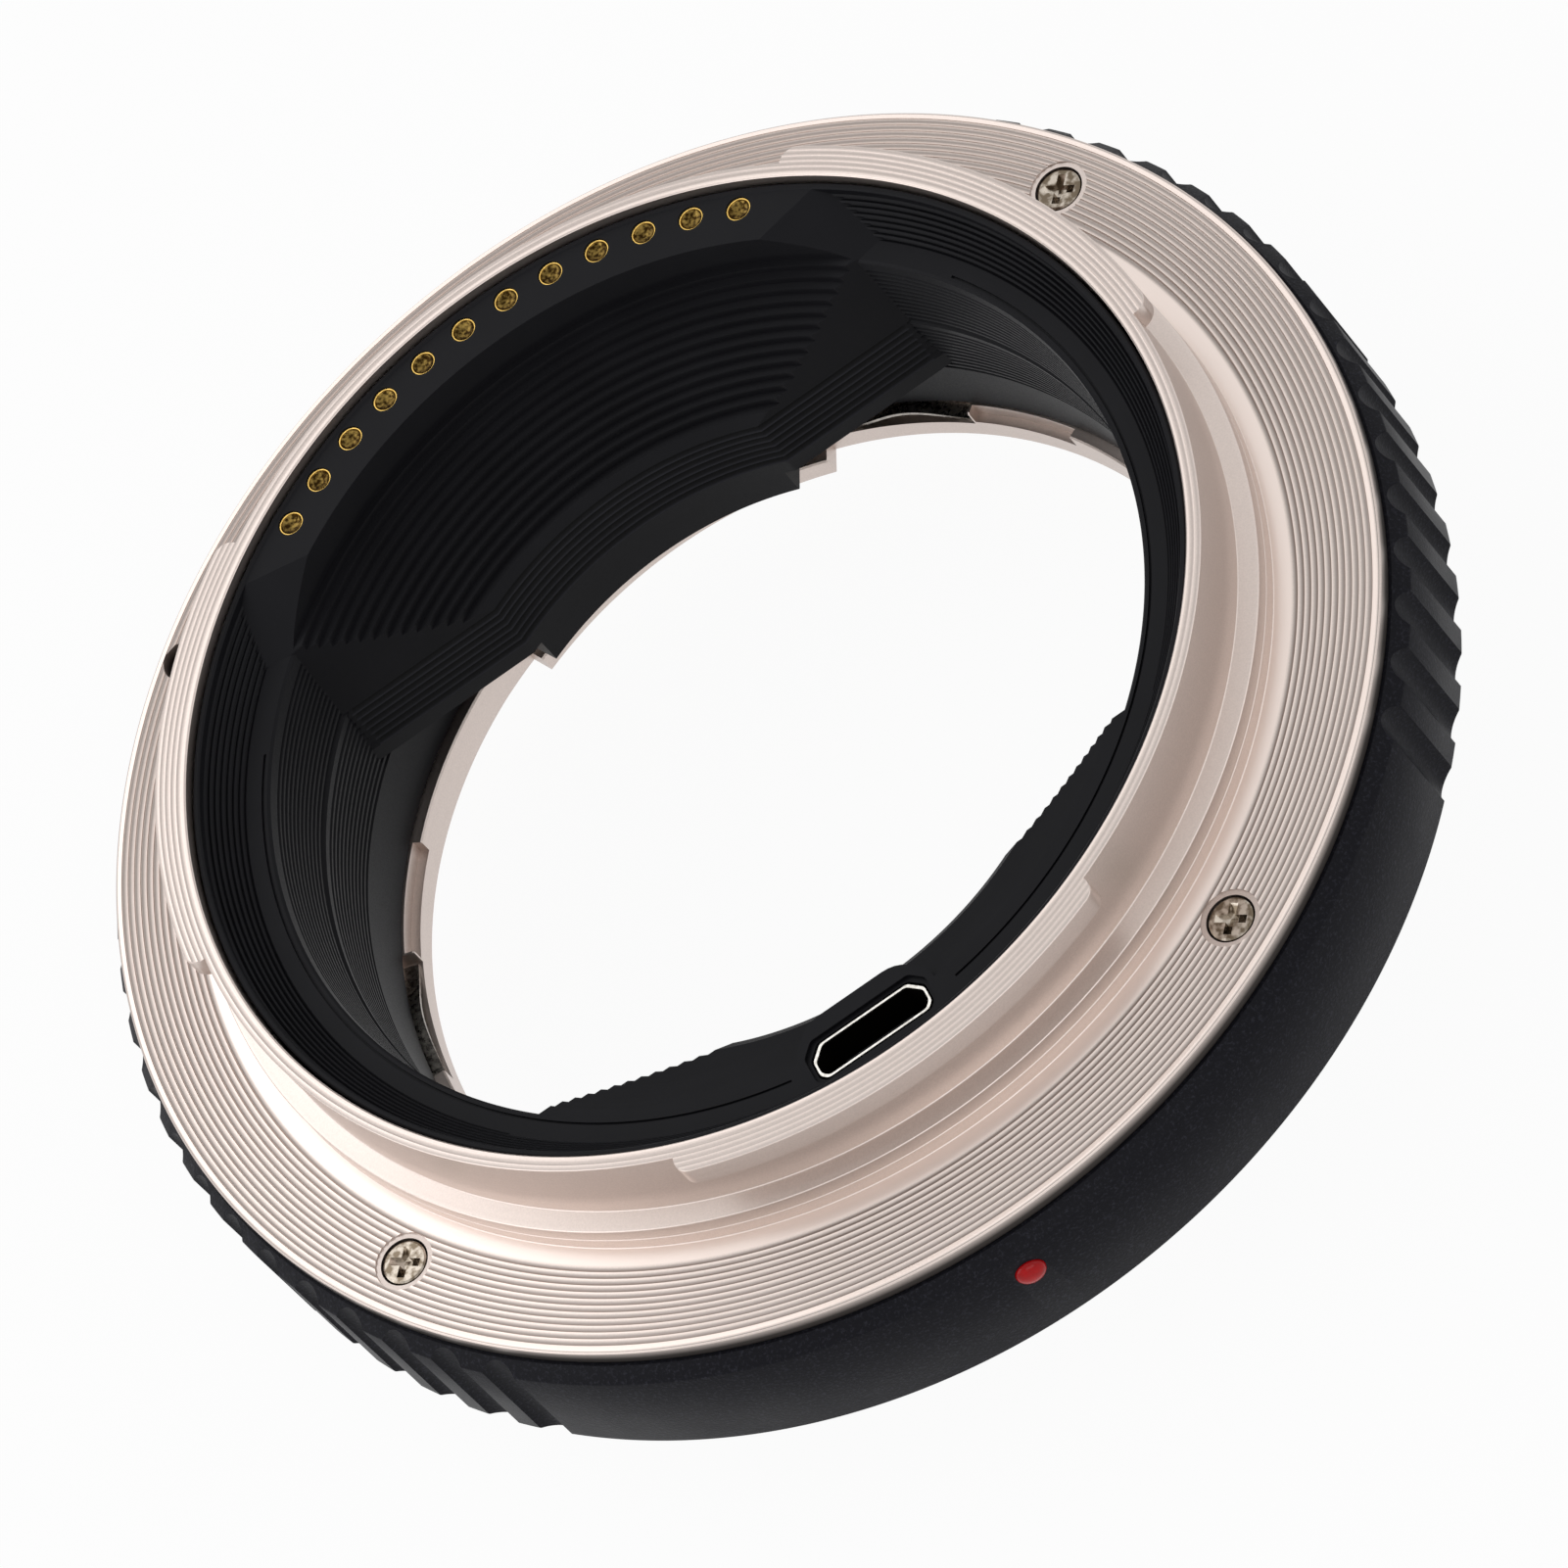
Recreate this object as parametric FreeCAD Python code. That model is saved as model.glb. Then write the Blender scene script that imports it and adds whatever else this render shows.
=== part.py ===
import FreeCAD, Part
import math
import os

V = FreeCAD.Vector
ORIGIN = V(0, 0, 0)
UP = V(0, 0, 1)

# Driving dimensions, in millimetres and degrees.
# The origin lies on the optical axis, in the flange face of the lens side. +Z points to the
# camera. Angles are counted from +X towards +Y. The index mark is near -Y, and the contacts
# for the camera are round +Y. Radii follow from the lens side's throat by named steps.

# Lens side bayonet
throat_radius = 27.0
throat_ring_top = 4.6
throat_collar_wall = 1.8      # from the throat to the ring's outer side
lead_in_step = 1.6            # from the throat to the lead-in bore
lead_in_depth = 2.0
front_flange_width = 5.5      # from the throat to the flange's edge
front_flange_thickness = 2.6
flange_clearance = 0.2
tab_reach = 1.6               # from the throat in to the tabs' inner edge
tab_root = 0.3
tab_thickness = 1.4
tab_count = 3
tab_width_angle = 48.0
tab_first_angle = 90.0
notch_angles = (37.0, 151.5, 273.0)
notch_width_angle = 15.5
notch_depth = 1.0
notch_step = 0.6              # from the throat to the notch's outer wall
spring_channel_step = 1.35
spring_channel_floor = 3.4
spring_start_angle = 8.5      # from the notch's middle to the spring's end
spring_span_angle = 17.5
spring_room_angle = 1.0
spring_step_count = 8
spring_thickness = 0.22
spring_width = 0.95
spring_wave = 0.7

# Screws of the lens side bayonet
front_screw_step = 3.6        # from the throat to the screws' circle
front_screw_first_angle = 20.0
front_screw_count = 4
front_screw_head = 1.2
front_screw_edge = 0.15
front_screw_sink = 0.1
front_screw_head_height = 1.0
front_screw_shank = 0.75
front_screw_length = 5.4

# Housing
flange_distance = 17.3        # flange face of the lens side to flange face of the camera side
nose_wall = 2.6               # from the lens side's flange to the nose's outside
nose_chamfer = 0.5
front_reveal = 0.4            # black face behind the lens side's flange face
wide_ring_bottom = 7.75       # where the wide ring ends and the cone to the nose starts
bevel_width = 0.83            # sand-blasted bevel under the camera side's flange
baffle_fit = 0.2              # the bore is wider than the baffle by this

# Grip flutes in the wide ring
flute_pitch_angle = 5.13
flute_depth = 0.7
flute_width = 2.19
flute_run_out_drop = 1.55     # how far the flutes run down into the cone
smooth_panel_angles = (223.8, 319.9)  # bare stretch round the index mark
lever_gap_angles = (125.5, 144.5)     # bare stretch over the release lever

# Camera side bayonet
rear_bore_step = 4.5          # from the throat to this side's bore
rear_flange_thickness = 1.3
rear_flange_width = 6.5       # from the shoulder to the flange's edge
rear_flange_inset = 1.0       # from the flange's edge to the housing's outside
rear_spigot_wall = 1.7
rear_spigot_depth = 2.0
spigot_clearance = 0.1
shoulder_wall = 2.1
shoulder_height = 2.07
barrel_wall = 0.92
barrel_step = 0.25            # height of the cone from shoulder to barrel
rim_height = 7.55             # top of the bayonet above its flange face
rim_chamfer = 0.2
lug_wall = 2.0
lug_root = 0.5
lug_thickness = 1.63
lug_width_angle = 50.5
lug_centre_angles = (28.0, 152.0, 269.7)
lug_end_radius = 0.6
plain_band = 1.08             # plain face between the shoulder and the first turned ring
plain_edge = 0.45             # plain face between the last turned ring and the edge
face_groove_count = 12
face_groove_depth = 0.12
lock_hole_angle = 134.5       # where the camera's lock pin drops in
lock_hole_length = 1.1
lock_hole_width = 2.6
lock_hole_depth = 0.9

# Screws of the camera side bayonet
rear_screw_first_angle = 30.5
rear_screw_count = 4
rear_screw_head = 1.25        # radius
rear_screw_head_height = 0.7
rear_screw_sink = 0.15        # head top below the flange face
rear_screw_shank = 0.8
rear_screw_length = 4.6
spot_face_radius = 1.65
spot_face_depth = 0.15        # deeper than the turned rings
head_clearance = 0.1
recess_width = 0.42
recess_length = 1.5
recess_depth = 0.4
recess_turn_angle = 20.0

# Light baffle
baffle_inset = 0.2            # from the camera side's bore to the baffle
baffle_rim_width = 0.4
baffle_sink = 0.55            # from the bayonet's rim down to the baffle's top
baffle_foot_gap = 0.15        # from the throat's ring up to the baffle
skirt_wall = 1.1              # wall of the skirt at its foot
skirt_taper = 0.6             # how much further in its bore is at the lower edge's height
ledge_inner_wall = 1.2
ledge_width = 1.5
ledge_drop = 2.5              # from the baffle's top down to the ledge
lower_edge_drop = 6.2         # from the ledge down to the wall's narrowest ring
upper_cone_height = 1.9
upper_cone_groove_count = 7
wall_groove_depth = 0.22
lip_height = 0.15

# Blocks of the baffle that carry the contacts and the data socket
block_chord_step = 8.9        # from the throat in to the straight walls
block_arc_step = 6.6          # from the throat in to the arc between the straight walls
block_foot_drop = 1.1
block_root = 0.5
field_top_drop = 1.8          # from the platform down to the grooved cone
field_drop = 6.0              # from the ledge down to the cone's foot
field_groove_count = 13
field_groove_depth = 0.3
chord_lean_ratio = 0.16       # the side facets lean outwards by this slope
facet_foot_rise = 0.9         # from the straight wall to the end facets' foot
wall_rib_count = 7
wall_rib_depth = 0.28
wall_rib_drop = 4.2           # from the cone's foot down to the last rib
platform_sink = 0.1
platform_inner_angle = 54.6   # end of the platform at its inner edge
platform_outer_angle = 48.8   # end of the platform at its outer edge

# Contacts of the camera side
rear_contact_count = 12
rear_contact_inset = 1.3      # from the baffle's outside to the contacts' circle
rear_contact_pitch_angle = 5.85
rear_contact_middle_angle = 90.2
rear_contact_radius = 0.78
rear_contact_length = 1.6
rear_contact_sink = 0.1
rear_contact_dish = 0.3
rear_contact_rim_ratio = 0.85 # radius of the dish's ball, as a share of one that fills the pad
pad_clearance = 0.02

# Data socket beside the index mark
socket_middle = -1.25         # x of the socket's middle
socket_face_inset = 3.05      # from the ledge's outer edge in to the shell's side
socket_half_width = 3.77
socket_half_face = 2.97
socket_half_back = 3.4
socket_face_corner = 0.84
socket_back_corner = 0.4
socket_height = 2.3
socket_length = 5.0
socket_wall = 0.25
socket_sink = 0.25
socket_clearance = 0.12
pad_wall = 1.5                # from the shell to the pad's face
pad_root = 0.2
pad_half_front = 3.0
pad_half_width = 4.6
tongue_half_width = 2.3
tongue_thickness = 0.6
tongue_recess = 1.2
tongue_place_ratio = 0.62     # where the tongue stands across the shell
riser_thickness = 0.8
riser_side_inset = 0.4
riser_front_inset = 0.5
riser_back_reach = 1.6
riser_clearance = 0.15

# Contacts of the lens side
front_block_inset = 0.6       # from the throat to the block
front_block_depth = 5.7
front_block_height = 2.5
front_block_width_angle = 50.0
front_contact_count = 8
front_contact_inset = 1.6     # from the block's inner wall to the pins' circle
front_contact_pitch_angle = 6.1
front_contact_radius = 0.6
front_contact_reach = 1.2
front_contact_collar = 0.85
front_collar_height = 0.5
front_shoulder = 0.8
contact_clearance = 0.05

# Circuit board and its ribbons
board_thickness = 1.0
board_clearance = 0.1
board_rear_gap = 0.5          # from the board to the camera side's spigot
board_span_angles = (30.0, 292.0)
board_tab_reach = 1.2         # from the baffle's skirt in to the tab's end
board_tab_width_angle = 10.0
ribbon_thickness = 0.2
ribbon_slot = 0.6
ribbon_gap = 0.1
ribbon_room_angle = 1.0
rear_ribbon_inset = 0.6       # from the contacts' circle to their ribbon
rear_ribbon_width_angle = 62.0
front_ribbon_inset = 0.8      # from the baffle's skirt in to the ribbon
front_ribbon_width_angle = 8.0

# Release of the lens: a slide that draws the lock pin back towards the camera
release_angle = 135.0
release_travel = 2.0
lock_pin_step = 3.9           # from the throat to the lock pin's circle
lock_pin_radius = 0.95
lock_pin_tip = 0.3
lock_pin_reach = 1.5
lock_pin_top = 7.4
pin_clearance = 0.05
arm_bottom = 5.0
arm_thickness = 1.0
arm_width = 3.6
arm_inner_reach = 1.15        # from the lock pin's circle in to the arm's end
arm_root = 2.0                # how deep the arm sits in the thumb piece
slot_clearance = 0.15
thumb_bottom = 2.4
thumb_top = 7.0
thumb_inset = 0.5             # from the nose's outside to the thumb piece's back
thumb_rise = 1.3              # how far the thumb piece stands out at its foot
thumb_top_rise = 0.65
thumb_edge = 0.6
thumb_round = 0.4
thumb_width = 9.0
thumb_ridge_count = 4
thumb_ridge_depth = 0.35
spring_wire = 0.17
spring_mean_radius = 1.27
spring_turn_count = 5
spring_well_radius = 1.6
spring_well_roof = 1.9        # from the circuit board's bay down to the well

# Index marks
index_angle = 268.1
index_drop = 2.8              # from the housing's top down to the mark
index_radius = 0.93
index_dome = 0.5
index_depth = 1.1
front_index_radius = 0.6
front_index_depth = 0.6
front_index_dome = 0.15
mark_clearance = 0.02

# Cutters run this far past the faces they open
overrun = 1.0

# Radii that follow, from the throat outwards
lead_in_radius = throat_radius + lead_in_step
tab_radius = throat_radius - tab_reach
notch_radius = throat_radius + notch_step
spring_channel_radius = throat_radius + spring_channel_step
throat_collar_radius = throat_radius + throat_collar_wall
front_screw_circle = throat_radius + front_screw_step
front_flange_radius = throat_radius + front_flange_width
recess_radius = front_flange_radius + flange_clearance
nose_radius = front_flange_radius + nose_wall
front_index_circle = (recess_radius + nose_radius - nose_chamfer) / 2

rear_bore = throat_radius + rear_bore_step
rear_spigot_radius = rear_bore + rear_spigot_wall
rear_bay_radius = rear_spigot_radius + spigot_clearance
barrel_radius = rear_bore + barrel_wall
lug_radius = rear_bore + lug_wall
shoulder_radius = rear_bore + shoulder_wall
rear_flange_radius = shoulder_radius + rear_flange_width
rear_screw_circle = (shoulder_radius + rear_flange_radius) / 2
face_groove_inner = shoulder_radius + plain_band
face_groove_outer = rear_flange_radius - plain_edge
lock_hole_radius = rear_flange_radius - lock_hole_length
housing_radius = rear_flange_radius + rear_flange_inset
bevel_top_radius = housing_radius - bevel_width

baffle_radius = rear_bore - baffle_inset
baffle_skirt_radius = throat_collar_radius
housing_bore = baffle_skirt_radius + baffle_fit
skirt_bore_bottom = baffle_skirt_radius - skirt_wall
skirt_bore_top = skirt_bore_bottom - skirt_taper
ledge_inner = baffle_skirt_radius - ledge_inner_wall
ledge_outer = ledge_inner + ledge_width
upper_cone_top = baffle_radius - baffle_rim_width
block_chord = throat_radius - block_chord_step
block_arc = throat_radius - block_arc_step
platform_inner = skirt_bore_bottom
rear_contact_circle = baffle_radius - rear_contact_inset
rear_ribbon_circle = rear_contact_circle - rear_ribbon_inset
front_ribbon_circle = baffle_skirt_radius - front_ribbon_inset
board_inner = housing_bore + board_clearance
board_outer = rear_bay_radius - spigot_clearance
board_tab_radius = baffle_skirt_radius - board_tab_reach

socket_face = socket_face_inset - ledge_outer
pad_front = socket_face + pad_wall
front_block_outer = throat_radius - front_block_inset
front_block_inner = front_block_outer - front_block_depth
front_contact_circle = front_block_inner + front_contact_inset
lock_pin_circle = throat_radius + lock_pin_step
thumb_inner = nose_radius + thumb_inset
arm_inner = lock_pin_circle - arm_inner_reach
arm_outer = thumb_inner + arm_root

# Heights that follow
housing_top = flange_distance - rear_flange_thickness
rim_top = flange_distance + rim_height
board_top = housing_top - rear_spigot_depth - board_rear_gap
board_bay_floor = board_top - board_thickness
baffle_top = rim_top - baffle_sink
baffle_foot = throat_ring_top + baffle_foot_gap
platform_height = baffle_top - platform_sink
ledge_height = baffle_top - ledge_drop
lower_edge_height = ledge_height - lower_edge_drop
field_top = platform_height - field_top_drop
field_foot = ledge_height - field_drop
wall_rib_bottom = field_foot - wall_rib_drop
block_foot = wall_rib_bottom - block_foot_drop
front_block_foot = block_foot - front_block_height
index_height = housing_top - index_drop
flute_run_out = wide_ring_bottom - flute_run_out_drop
spring_well_top = board_bay_floor - spring_well_roof
nose_top = wide_ring_bottom - (housing_radius - nose_radius)
arm_top = arm_bottom + arm_thickness
socket_mouth = ledge_height - socket_sink
socket_back = socket_mouth - socket_length
socket_rear = socket_face - socket_height - riser_back_reach


def turned(points, start=0.0, sweep=360.0):
    """A solid of revolution about Z of an outline of (radius, height) points."""
    corners = [V(r, 0, z) for r, z in points]
    face = Part.Face(Part.makePolygon(corners + corners[:1]))
    solid = face.revolve(ORIGIN, UP, sweep)
    solid.rotate(ORIGIN, UP, start)
    return solid


def sector(inner, outer, bottom, top, middle, width):
    """A piece of a ring, width degrees wide about the angle middle."""
    outline = [(inner, bottom), (outer, bottom), (outer, top), (inner, top)]
    return turned(outline, middle - width / 2, width)


def turn(shape, angle):
    copy = shape.copy()
    copy.rotate(ORIGIN, UP, angle)
    return copy


def rod(radius, bottom, top, circle, angle):
    """An upright cylinder whose axis stands on the circle at the angle."""
    return turn(Part.makeCylinder(radius, top - bottom, V(circle, 0, bottom)), angle)


def evenly(first, count):
    """Angles of count pieces spread evenly round the axis."""
    return [first + i * math.degrees(2 * math.pi) / count for i in range(count)]


def row(middle, pitch, count):
    """Angles of count pieces in a row about the angle middle."""
    return [middle + (i - (count - 1) / 2) * pitch for i in range(count)]


def beyond(height, below=False):
    """A big block that takes in everything above a height, or below it."""
    size = 4 * housing_radius
    return Part.makeBox(size, size, size, V(-size / 2, -size / 2, height - size if below else height))


def upright(points, bottom, top):
    """A prism over an outline of (x, y) points."""
    corners = [V(x, y, bottom) for x, y in points]
    face = Part.Face(Part.makePolygon(corners + corners[:1]))
    return face.extrude(V(0, 0, top - bottom))


def zigzag(start, end, count, depth):
    """Points of count V grooves between two points of an outline; depth is to the left."""
    step = ((end[0] - start[0]) / count, (end[1] - start[1]) / count)
    length = math.hypot(*step)
    normal = (-step[1] / length * depth, step[0] / length * depth)
    points = []
    for i in range(count):
        crest = (start[0] + i * step[0], start[1] + i * step[1])
        points.append(crest)
        points.append((crest[0] + step[0] / 2 + normal[0], crest[1] + step[1] / 2 + normal[1]))
    return points + [end]


def above_plane(corner, second, third):
    """A big block whose lower face passes through the three points."""
    normal = (second - corner).cross(third - corner).normalize()
    if normal.z < 0:
        normal = normal.negative()
    block = beyond(0)
    block.Placement = FreeCAD.Placement(corner, FreeCAD.Rotation(UP, normal)) * block.Placement
    return block


def cross_recess(top, circle, angle):
    """The crossed slots in a screw's head, open at the height top."""
    slots = []
    for side in (0, 90):
        slot = Part.makeBox(recess_length, recess_width, 2 * recess_depth,
                            V(-recess_length / 2, -recess_width / 2, -recess_depth))
        slot.rotate(ORIGIN, UP, side + recess_turn_angle)
        slot.translate(V(circle, 0, top))
        slots.append(turn(slot, angle))
    return slots[0].fuse(slots[1])


def flute_angles():
    """Angles of the grip flutes, which leave the panel and the lever's stretch bare."""
    half = math.degrees(flute_width / 2 / housing_radius)
    whole = math.degrees(2 * math.pi)
    start = smooth_panel_angles[1] + half
    end = smooth_panel_angles[0] + whole - half
    count = round((end - start) / flute_pitch_angle)
    angles = [start + (end - start) * i / count for i in range(count + 1)]
    return [a for a in angles if not lever_gap_angles[0] < a % whole < lever_gap_angles[1]]


def flutes():
    """Cutters for the flutes: upright cylinders that bite flute_depth into the ring."""
    half = flute_width / 2
    radius = (half * half + flute_depth * flute_depth) / (2 * flute_depth)
    circle = housing_radius - flute_depth + radius
    height = housing_top - flute_run_out
    return [turn(Part.makeCylinder(radius, height + overrun, V(circle, 0, flute_run_out)), a)
            for a in flute_angles()]


def release_pocket():
    """The room for the release: thumb pocket, arm slot, pin hole and spring well."""
    gap = slot_clearance
    half = thumb_width / 2 + gap
    pocket = Part.makeBox(housing_radius, 2 * half, thumb_top - thumb_bottom + release_travel + 2 * gap,
                          V(thumb_inner - gap, -half, thumb_bottom - gap))
    slot = Part.makeBox(arm_outer - arm_inner, arm_width + 2 * gap,
                        arm_thickness + release_travel + 2 * gap,
                        V(arm_inner - gap, -arm_width / 2 - gap, arm_bottom - gap))
    hole = Part.makeCylinder(lock_pin_radius + pin_clearance, arm_bottom, V(lock_pin_circle, 0, 0))
    well = Part.makeCylinder(spring_well_radius, spring_well_top - arm_bottom,
                             V(lock_pin_circle, 0, arm_bottom))
    return turn(pocket.fuse([slot, hole, well]), release_angle)


def index_socket(radius, depth):
    """A radial cylinder from the wide ring's face inwards, at the index mark."""
    peg = Part.makeCylinder(radius, depth, V(housing_radius - depth, 0, index_height), V(1, 0, 0))
    return turn(peg, index_angle)


def main_housing():
    front = front_reveal
    outline = [
        (housing_bore, front_flange_thickness),
        (recess_radius, front_flange_thickness),
        (recess_radius, front),
        (nose_radius - nose_chamfer, front),
        (nose_radius, front + nose_chamfer),
        (nose_radius, nose_top),
        (housing_radius, wide_ring_bottom),
        (housing_radius, housing_top - bevel_width),
        (bevel_top_radius, housing_top),
        (rear_bay_radius, housing_top),
        (rear_bay_radius, board_bay_floor),
        (housing_bore, board_bay_floor),
    ]
    cutters = flutes() + [release_pocket(), index_socket(index_radius + mark_clearance, index_depth)]
    bottom = housing_top - rear_screw_length
    for angle in rear_screw_angles():
        cutters.append(rod(rear_screw_shank, bottom, housing_top, rear_screw_circle, angle))
    for angle in front_screw_angles():
        cutters.append(rod(front_screw_shank, front_flange_thickness, front_screw_length,
                           front_screw_circle, angle))
    cutters.append(rod(front_index_radius + mark_clearance, 0, front + front_index_depth,
                       front_index_circle, index_angle))
    return turned(outline).cut(cutters)


def rear_screw_angles():
    return evenly(rear_screw_first_angle, rear_screw_count)


def front_screw_angles():
    return evenly(front_screw_first_angle, front_screw_count)


def lug(middle):
    """One bayonet lug with rounded ends."""
    piece = sector(barrel_radius - lug_root, lug_radius, rim_top - lug_thickness, rim_top,
                   middle, lug_width_angle)
    ends = [e for e in piece.Edges
            if abs(e.BoundBox.ZLength - lug_thickness) < lug_root / 100
            and math.hypot(e.CenterOfMass.x, e.CenterOfMass.y) > barrel_radius]
    return piece.makeFillet(lug_end_radius, ends)


def rear_mount():
    face = flange_distance
    grooves = zigzag((face_groove_outer, face), (face_groove_inner, face), face_groove_count,
                     face_groove_depth)
    outline = [
        (rear_bore, housing_top - rear_spigot_depth),
        (rear_spigot_radius, housing_top - rear_spigot_depth),
        (rear_spigot_radius, housing_top),
        (rear_flange_radius, housing_top),
        (rear_flange_radius, face - rim_chamfer),
        (rear_flange_radius - rim_chamfer, face),
    ] + grooves + [
        (shoulder_radius, face),
        (shoulder_radius, face + shoulder_height),
        (barrel_radius, face + shoulder_height + barrel_step),
        (barrel_radius, rim_top - rim_chamfer),
        (barrel_radius - rim_chamfer, rim_top),
        (rear_bore + rim_chamfer, rim_top),
        (rear_bore, rim_top - rim_chamfer),
    ]
    mount = turned(outline).fuse([lug(middle) for middle in lug_centre_angles])
    cutters = []
    head_floor = face - rear_screw_sink - rear_screw_head_height
    for angle in rear_screw_angles():
        cutters.append(rod(spot_face_radius, face - spot_face_depth, face + overrun,
                           rear_screw_circle, angle))
        cutters.append(rod(rear_screw_head + head_clearance, head_floor, face, rear_screw_circle, angle))
        cutters.append(rod(rear_screw_shank, housing_top, head_floor, rear_screw_circle, angle))
    slot = Part.makeBox(rear_flange_radius, lock_hole_width, lock_hole_depth + overrun,
                        V(lock_hole_radius, -lock_hole_width / 2, face - lock_hole_depth))
    cutters.append(turn(slot, lock_hole_angle))
    return mount.cut(cutters)


def rear_screw(angle):
    top = flange_distance - rear_screw_sink
    floor = top - rear_screw_head_height
    head = rod(rear_screw_head, floor, top, rear_screw_circle, angle)
    shank = rod(rear_screw_shank, housing_top - rear_screw_length, floor, rear_screw_circle, angle)
    return head.fuse(shank).cut(cross_recess(top, rear_screw_circle, angle)).removeSplitter()


def baffle_wall():
    """The turned wall of the baffle, with the grooved cone under its upper edge."""
    cone_foot = (ledge_outer, ledge_height)
    cone_top = (upper_cone_top, ledge_height + upper_cone_height)
    outline = [
        (baffle_radius, board_top),
        (baffle_radius, baffle_top),
        (upper_cone_top, baffle_top),
    ] + zigzag(cone_top, cone_foot, upper_cone_groove_count, wall_groove_depth) + [
        (ledge_inner + lip_height, ledge_height),
        (ledge_inner, ledge_height - lip_height),
        (skirt_bore_top + lip_height, lower_edge_height + lip_height),
        (skirt_bore_top, lower_edge_height),
        (skirt_bore_bottom, baffle_foot),
        (baffle_skirt_radius, baffle_foot),
        (baffle_skirt_radius, board_top),
    ]
    return turned(outline)


def block_outline(top, top_radius):
    """Outline of a block's middle: grooved cone above, ribbed upright wall below."""
    field = zigzag((top_radius, field_top), (block_arc, field_foot), field_groove_count, field_groove_depth)
    ribs = zigzag((block_arc, field_foot), (block_arc, wall_rib_bottom), wall_rib_count, wall_rib_depth)
    skirt = baffle_skirt_radius - block_root
    wall = baffle_radius - baffle_rim_width / 2
    outer = [(skirt, block_foot), (skirt, board_top), (wall, board_top), (wall, top)]
    inner = [(top_radius, top)] if top > field_top else []
    return outer + inner + field + ribs[1:] + [(block_arc, block_foot)]


def chord_side(top):
    """Everything beyond the straight wall and its leaning facets, on the +Y side."""
    wall = zigzag((block_chord, wall_rib_bottom), (block_chord, field_foot), wall_rib_count, -wall_rib_depth)
    lean = block_chord + chord_lean_ratio * (top - field_foot)
    points = [(block_chord, block_foot)] + wall + [(lean, top), (housing_radius, top),
                                                   (housing_radius, block_foot)]
    corners = [V(-housing_radius, y, z) for y, z in points]
    face = Part.Face(Part.makePolygon(corners + corners[:1]))
    return face.extrude(V(2 * housing_radius, 0, 0))


def on_circle(radius, angle, height, side):
    """A point at an angle on a circle, mirrored in X where side is -1."""
    turned_by = math.radians(angle)
    return V(side * radius * math.cos(turned_by), radius * math.sin(turned_by), height)


def contact_block():
    """The block under the camera's contacts, with its platform and end facets."""
    block = turned(block_outline(platform_height, platform_inner), 0, 180)
    block = block.common(chord_side(platform_height))
    foot_angle = math.degrees(math.asin((block_chord + facet_foot_rise) / ledge_inner))
    for side in (1, -1):
        inner = on_circle(platform_inner, platform_inner_angle, platform_height, side)
        outer = on_circle(baffle_radius, platform_outer_angle, platform_height, side)
        foot = on_circle(ledge_inner, foot_angle, ledge_height, side)
        block = block.cut(above_plane(inner, outer, foot))
    return block


def socket_outline(grow):
    """Outline of the data socket's shell, made larger all round by grow."""
    face = socket_face + grow
    back = socket_face - socket_height - grow
    half = socket_half_width + grow
    right = [(socket_half_back + grow, back), (half, back + socket_back_corner),
             (half, face - socket_face_corner), (socket_half_face + grow, face)]
    left = [(-x, y) for x, y in reversed(right)]
    return [(socket_middle + x, y) for x, y in right + left]


def socket_block():
    """The block on the index side: the same grooved cone, with a pad for the data socket."""
    half = turned(block_outline(ledge_height, ledge_inner), 0, 180)
    block = turn(half.common(chord_side(ledge_height)), 180)
    slant = pad_half_width - pad_half_front
    rear = pad_root - ledge_outer
    pad = [(-pad_half_front, pad_front), (pad_half_front, pad_front),
           (pad_half_width, pad_front - slant), (pad_half_width, rear),
           (-pad_half_width, rear), (-pad_half_width, pad_front - slant)]
    pad = upright([(socket_middle + x, y) for x, y in pad], field_foot, ledge_height)
    return block.fuse(pad)


def ribbon_slots():
    """Slots in the baffle for the ribbons, the socket, its riser and the board's tab."""
    rear = sector(rear_ribbon_circle - ribbon_slot / 2, rear_ribbon_circle + ribbon_slot / 2,
                  board_top, rear_contact_foot(), rear_contact_middle_angle,
                  rear_ribbon_width_angle + ribbon_room_angle)
    tab = sector(front_block_outer, housing_bore, block_foot - ribbon_thickness - ribbon_gap,
                 board_top, rear_contact_middle_angle, board_tab_width_angle + ribbon_room_angle)
    mouth = upright(socket_outline(socket_clearance), socket_back, ledge_height + overrun)
    return [rear, tab, mouth, riser_room()]


def riser_room():
    """Room for the small board under the socket, down to the circuit board."""
    half = socket_half_back - riser_side_inset + riser_clearance
    front = socket_face - riser_front_inset + riser_clearance
    back = socket_rear - riser_clearance
    return Part.makeBox(2 * half, front - back, socket_back - board_top,
                        V(socket_middle - half, back, board_top))


def rear_contact_foot():
    return platform_height - rear_contact_sink - rear_contact_length


def rear_contact_angles():
    return row(rear_contact_middle_angle, rear_contact_pitch_angle, rear_contact_count)


def inner_baffle():
    body = baffle_wall().fuse([contact_block(), socket_block()])
    cutters = ribbon_slots()
    for angle in rear_contact_angles():
        cutters.append(rod(rear_contact_radius + pad_clearance, rear_contact_foot(),
                           platform_height + overrun, rear_contact_circle, angle))
    return body.cut(cutters)


def rear_contact(angle):
    top = platform_height - rear_contact_sink
    full_dish = (rear_contact_radius ** 2 + rear_contact_dish ** 2) / (2 * rear_contact_dish)
    dish_radius = full_dish * rear_contact_rim_ratio
    pad = rod(rear_contact_radius, rear_contact_foot(), top, rear_contact_circle, angle)
    ball = Part.makeSphere(dish_radius, V(rear_contact_circle, 0, top + dish_radius - rear_contact_dish))
    return pad.cut(turn(ball, angle))


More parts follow.
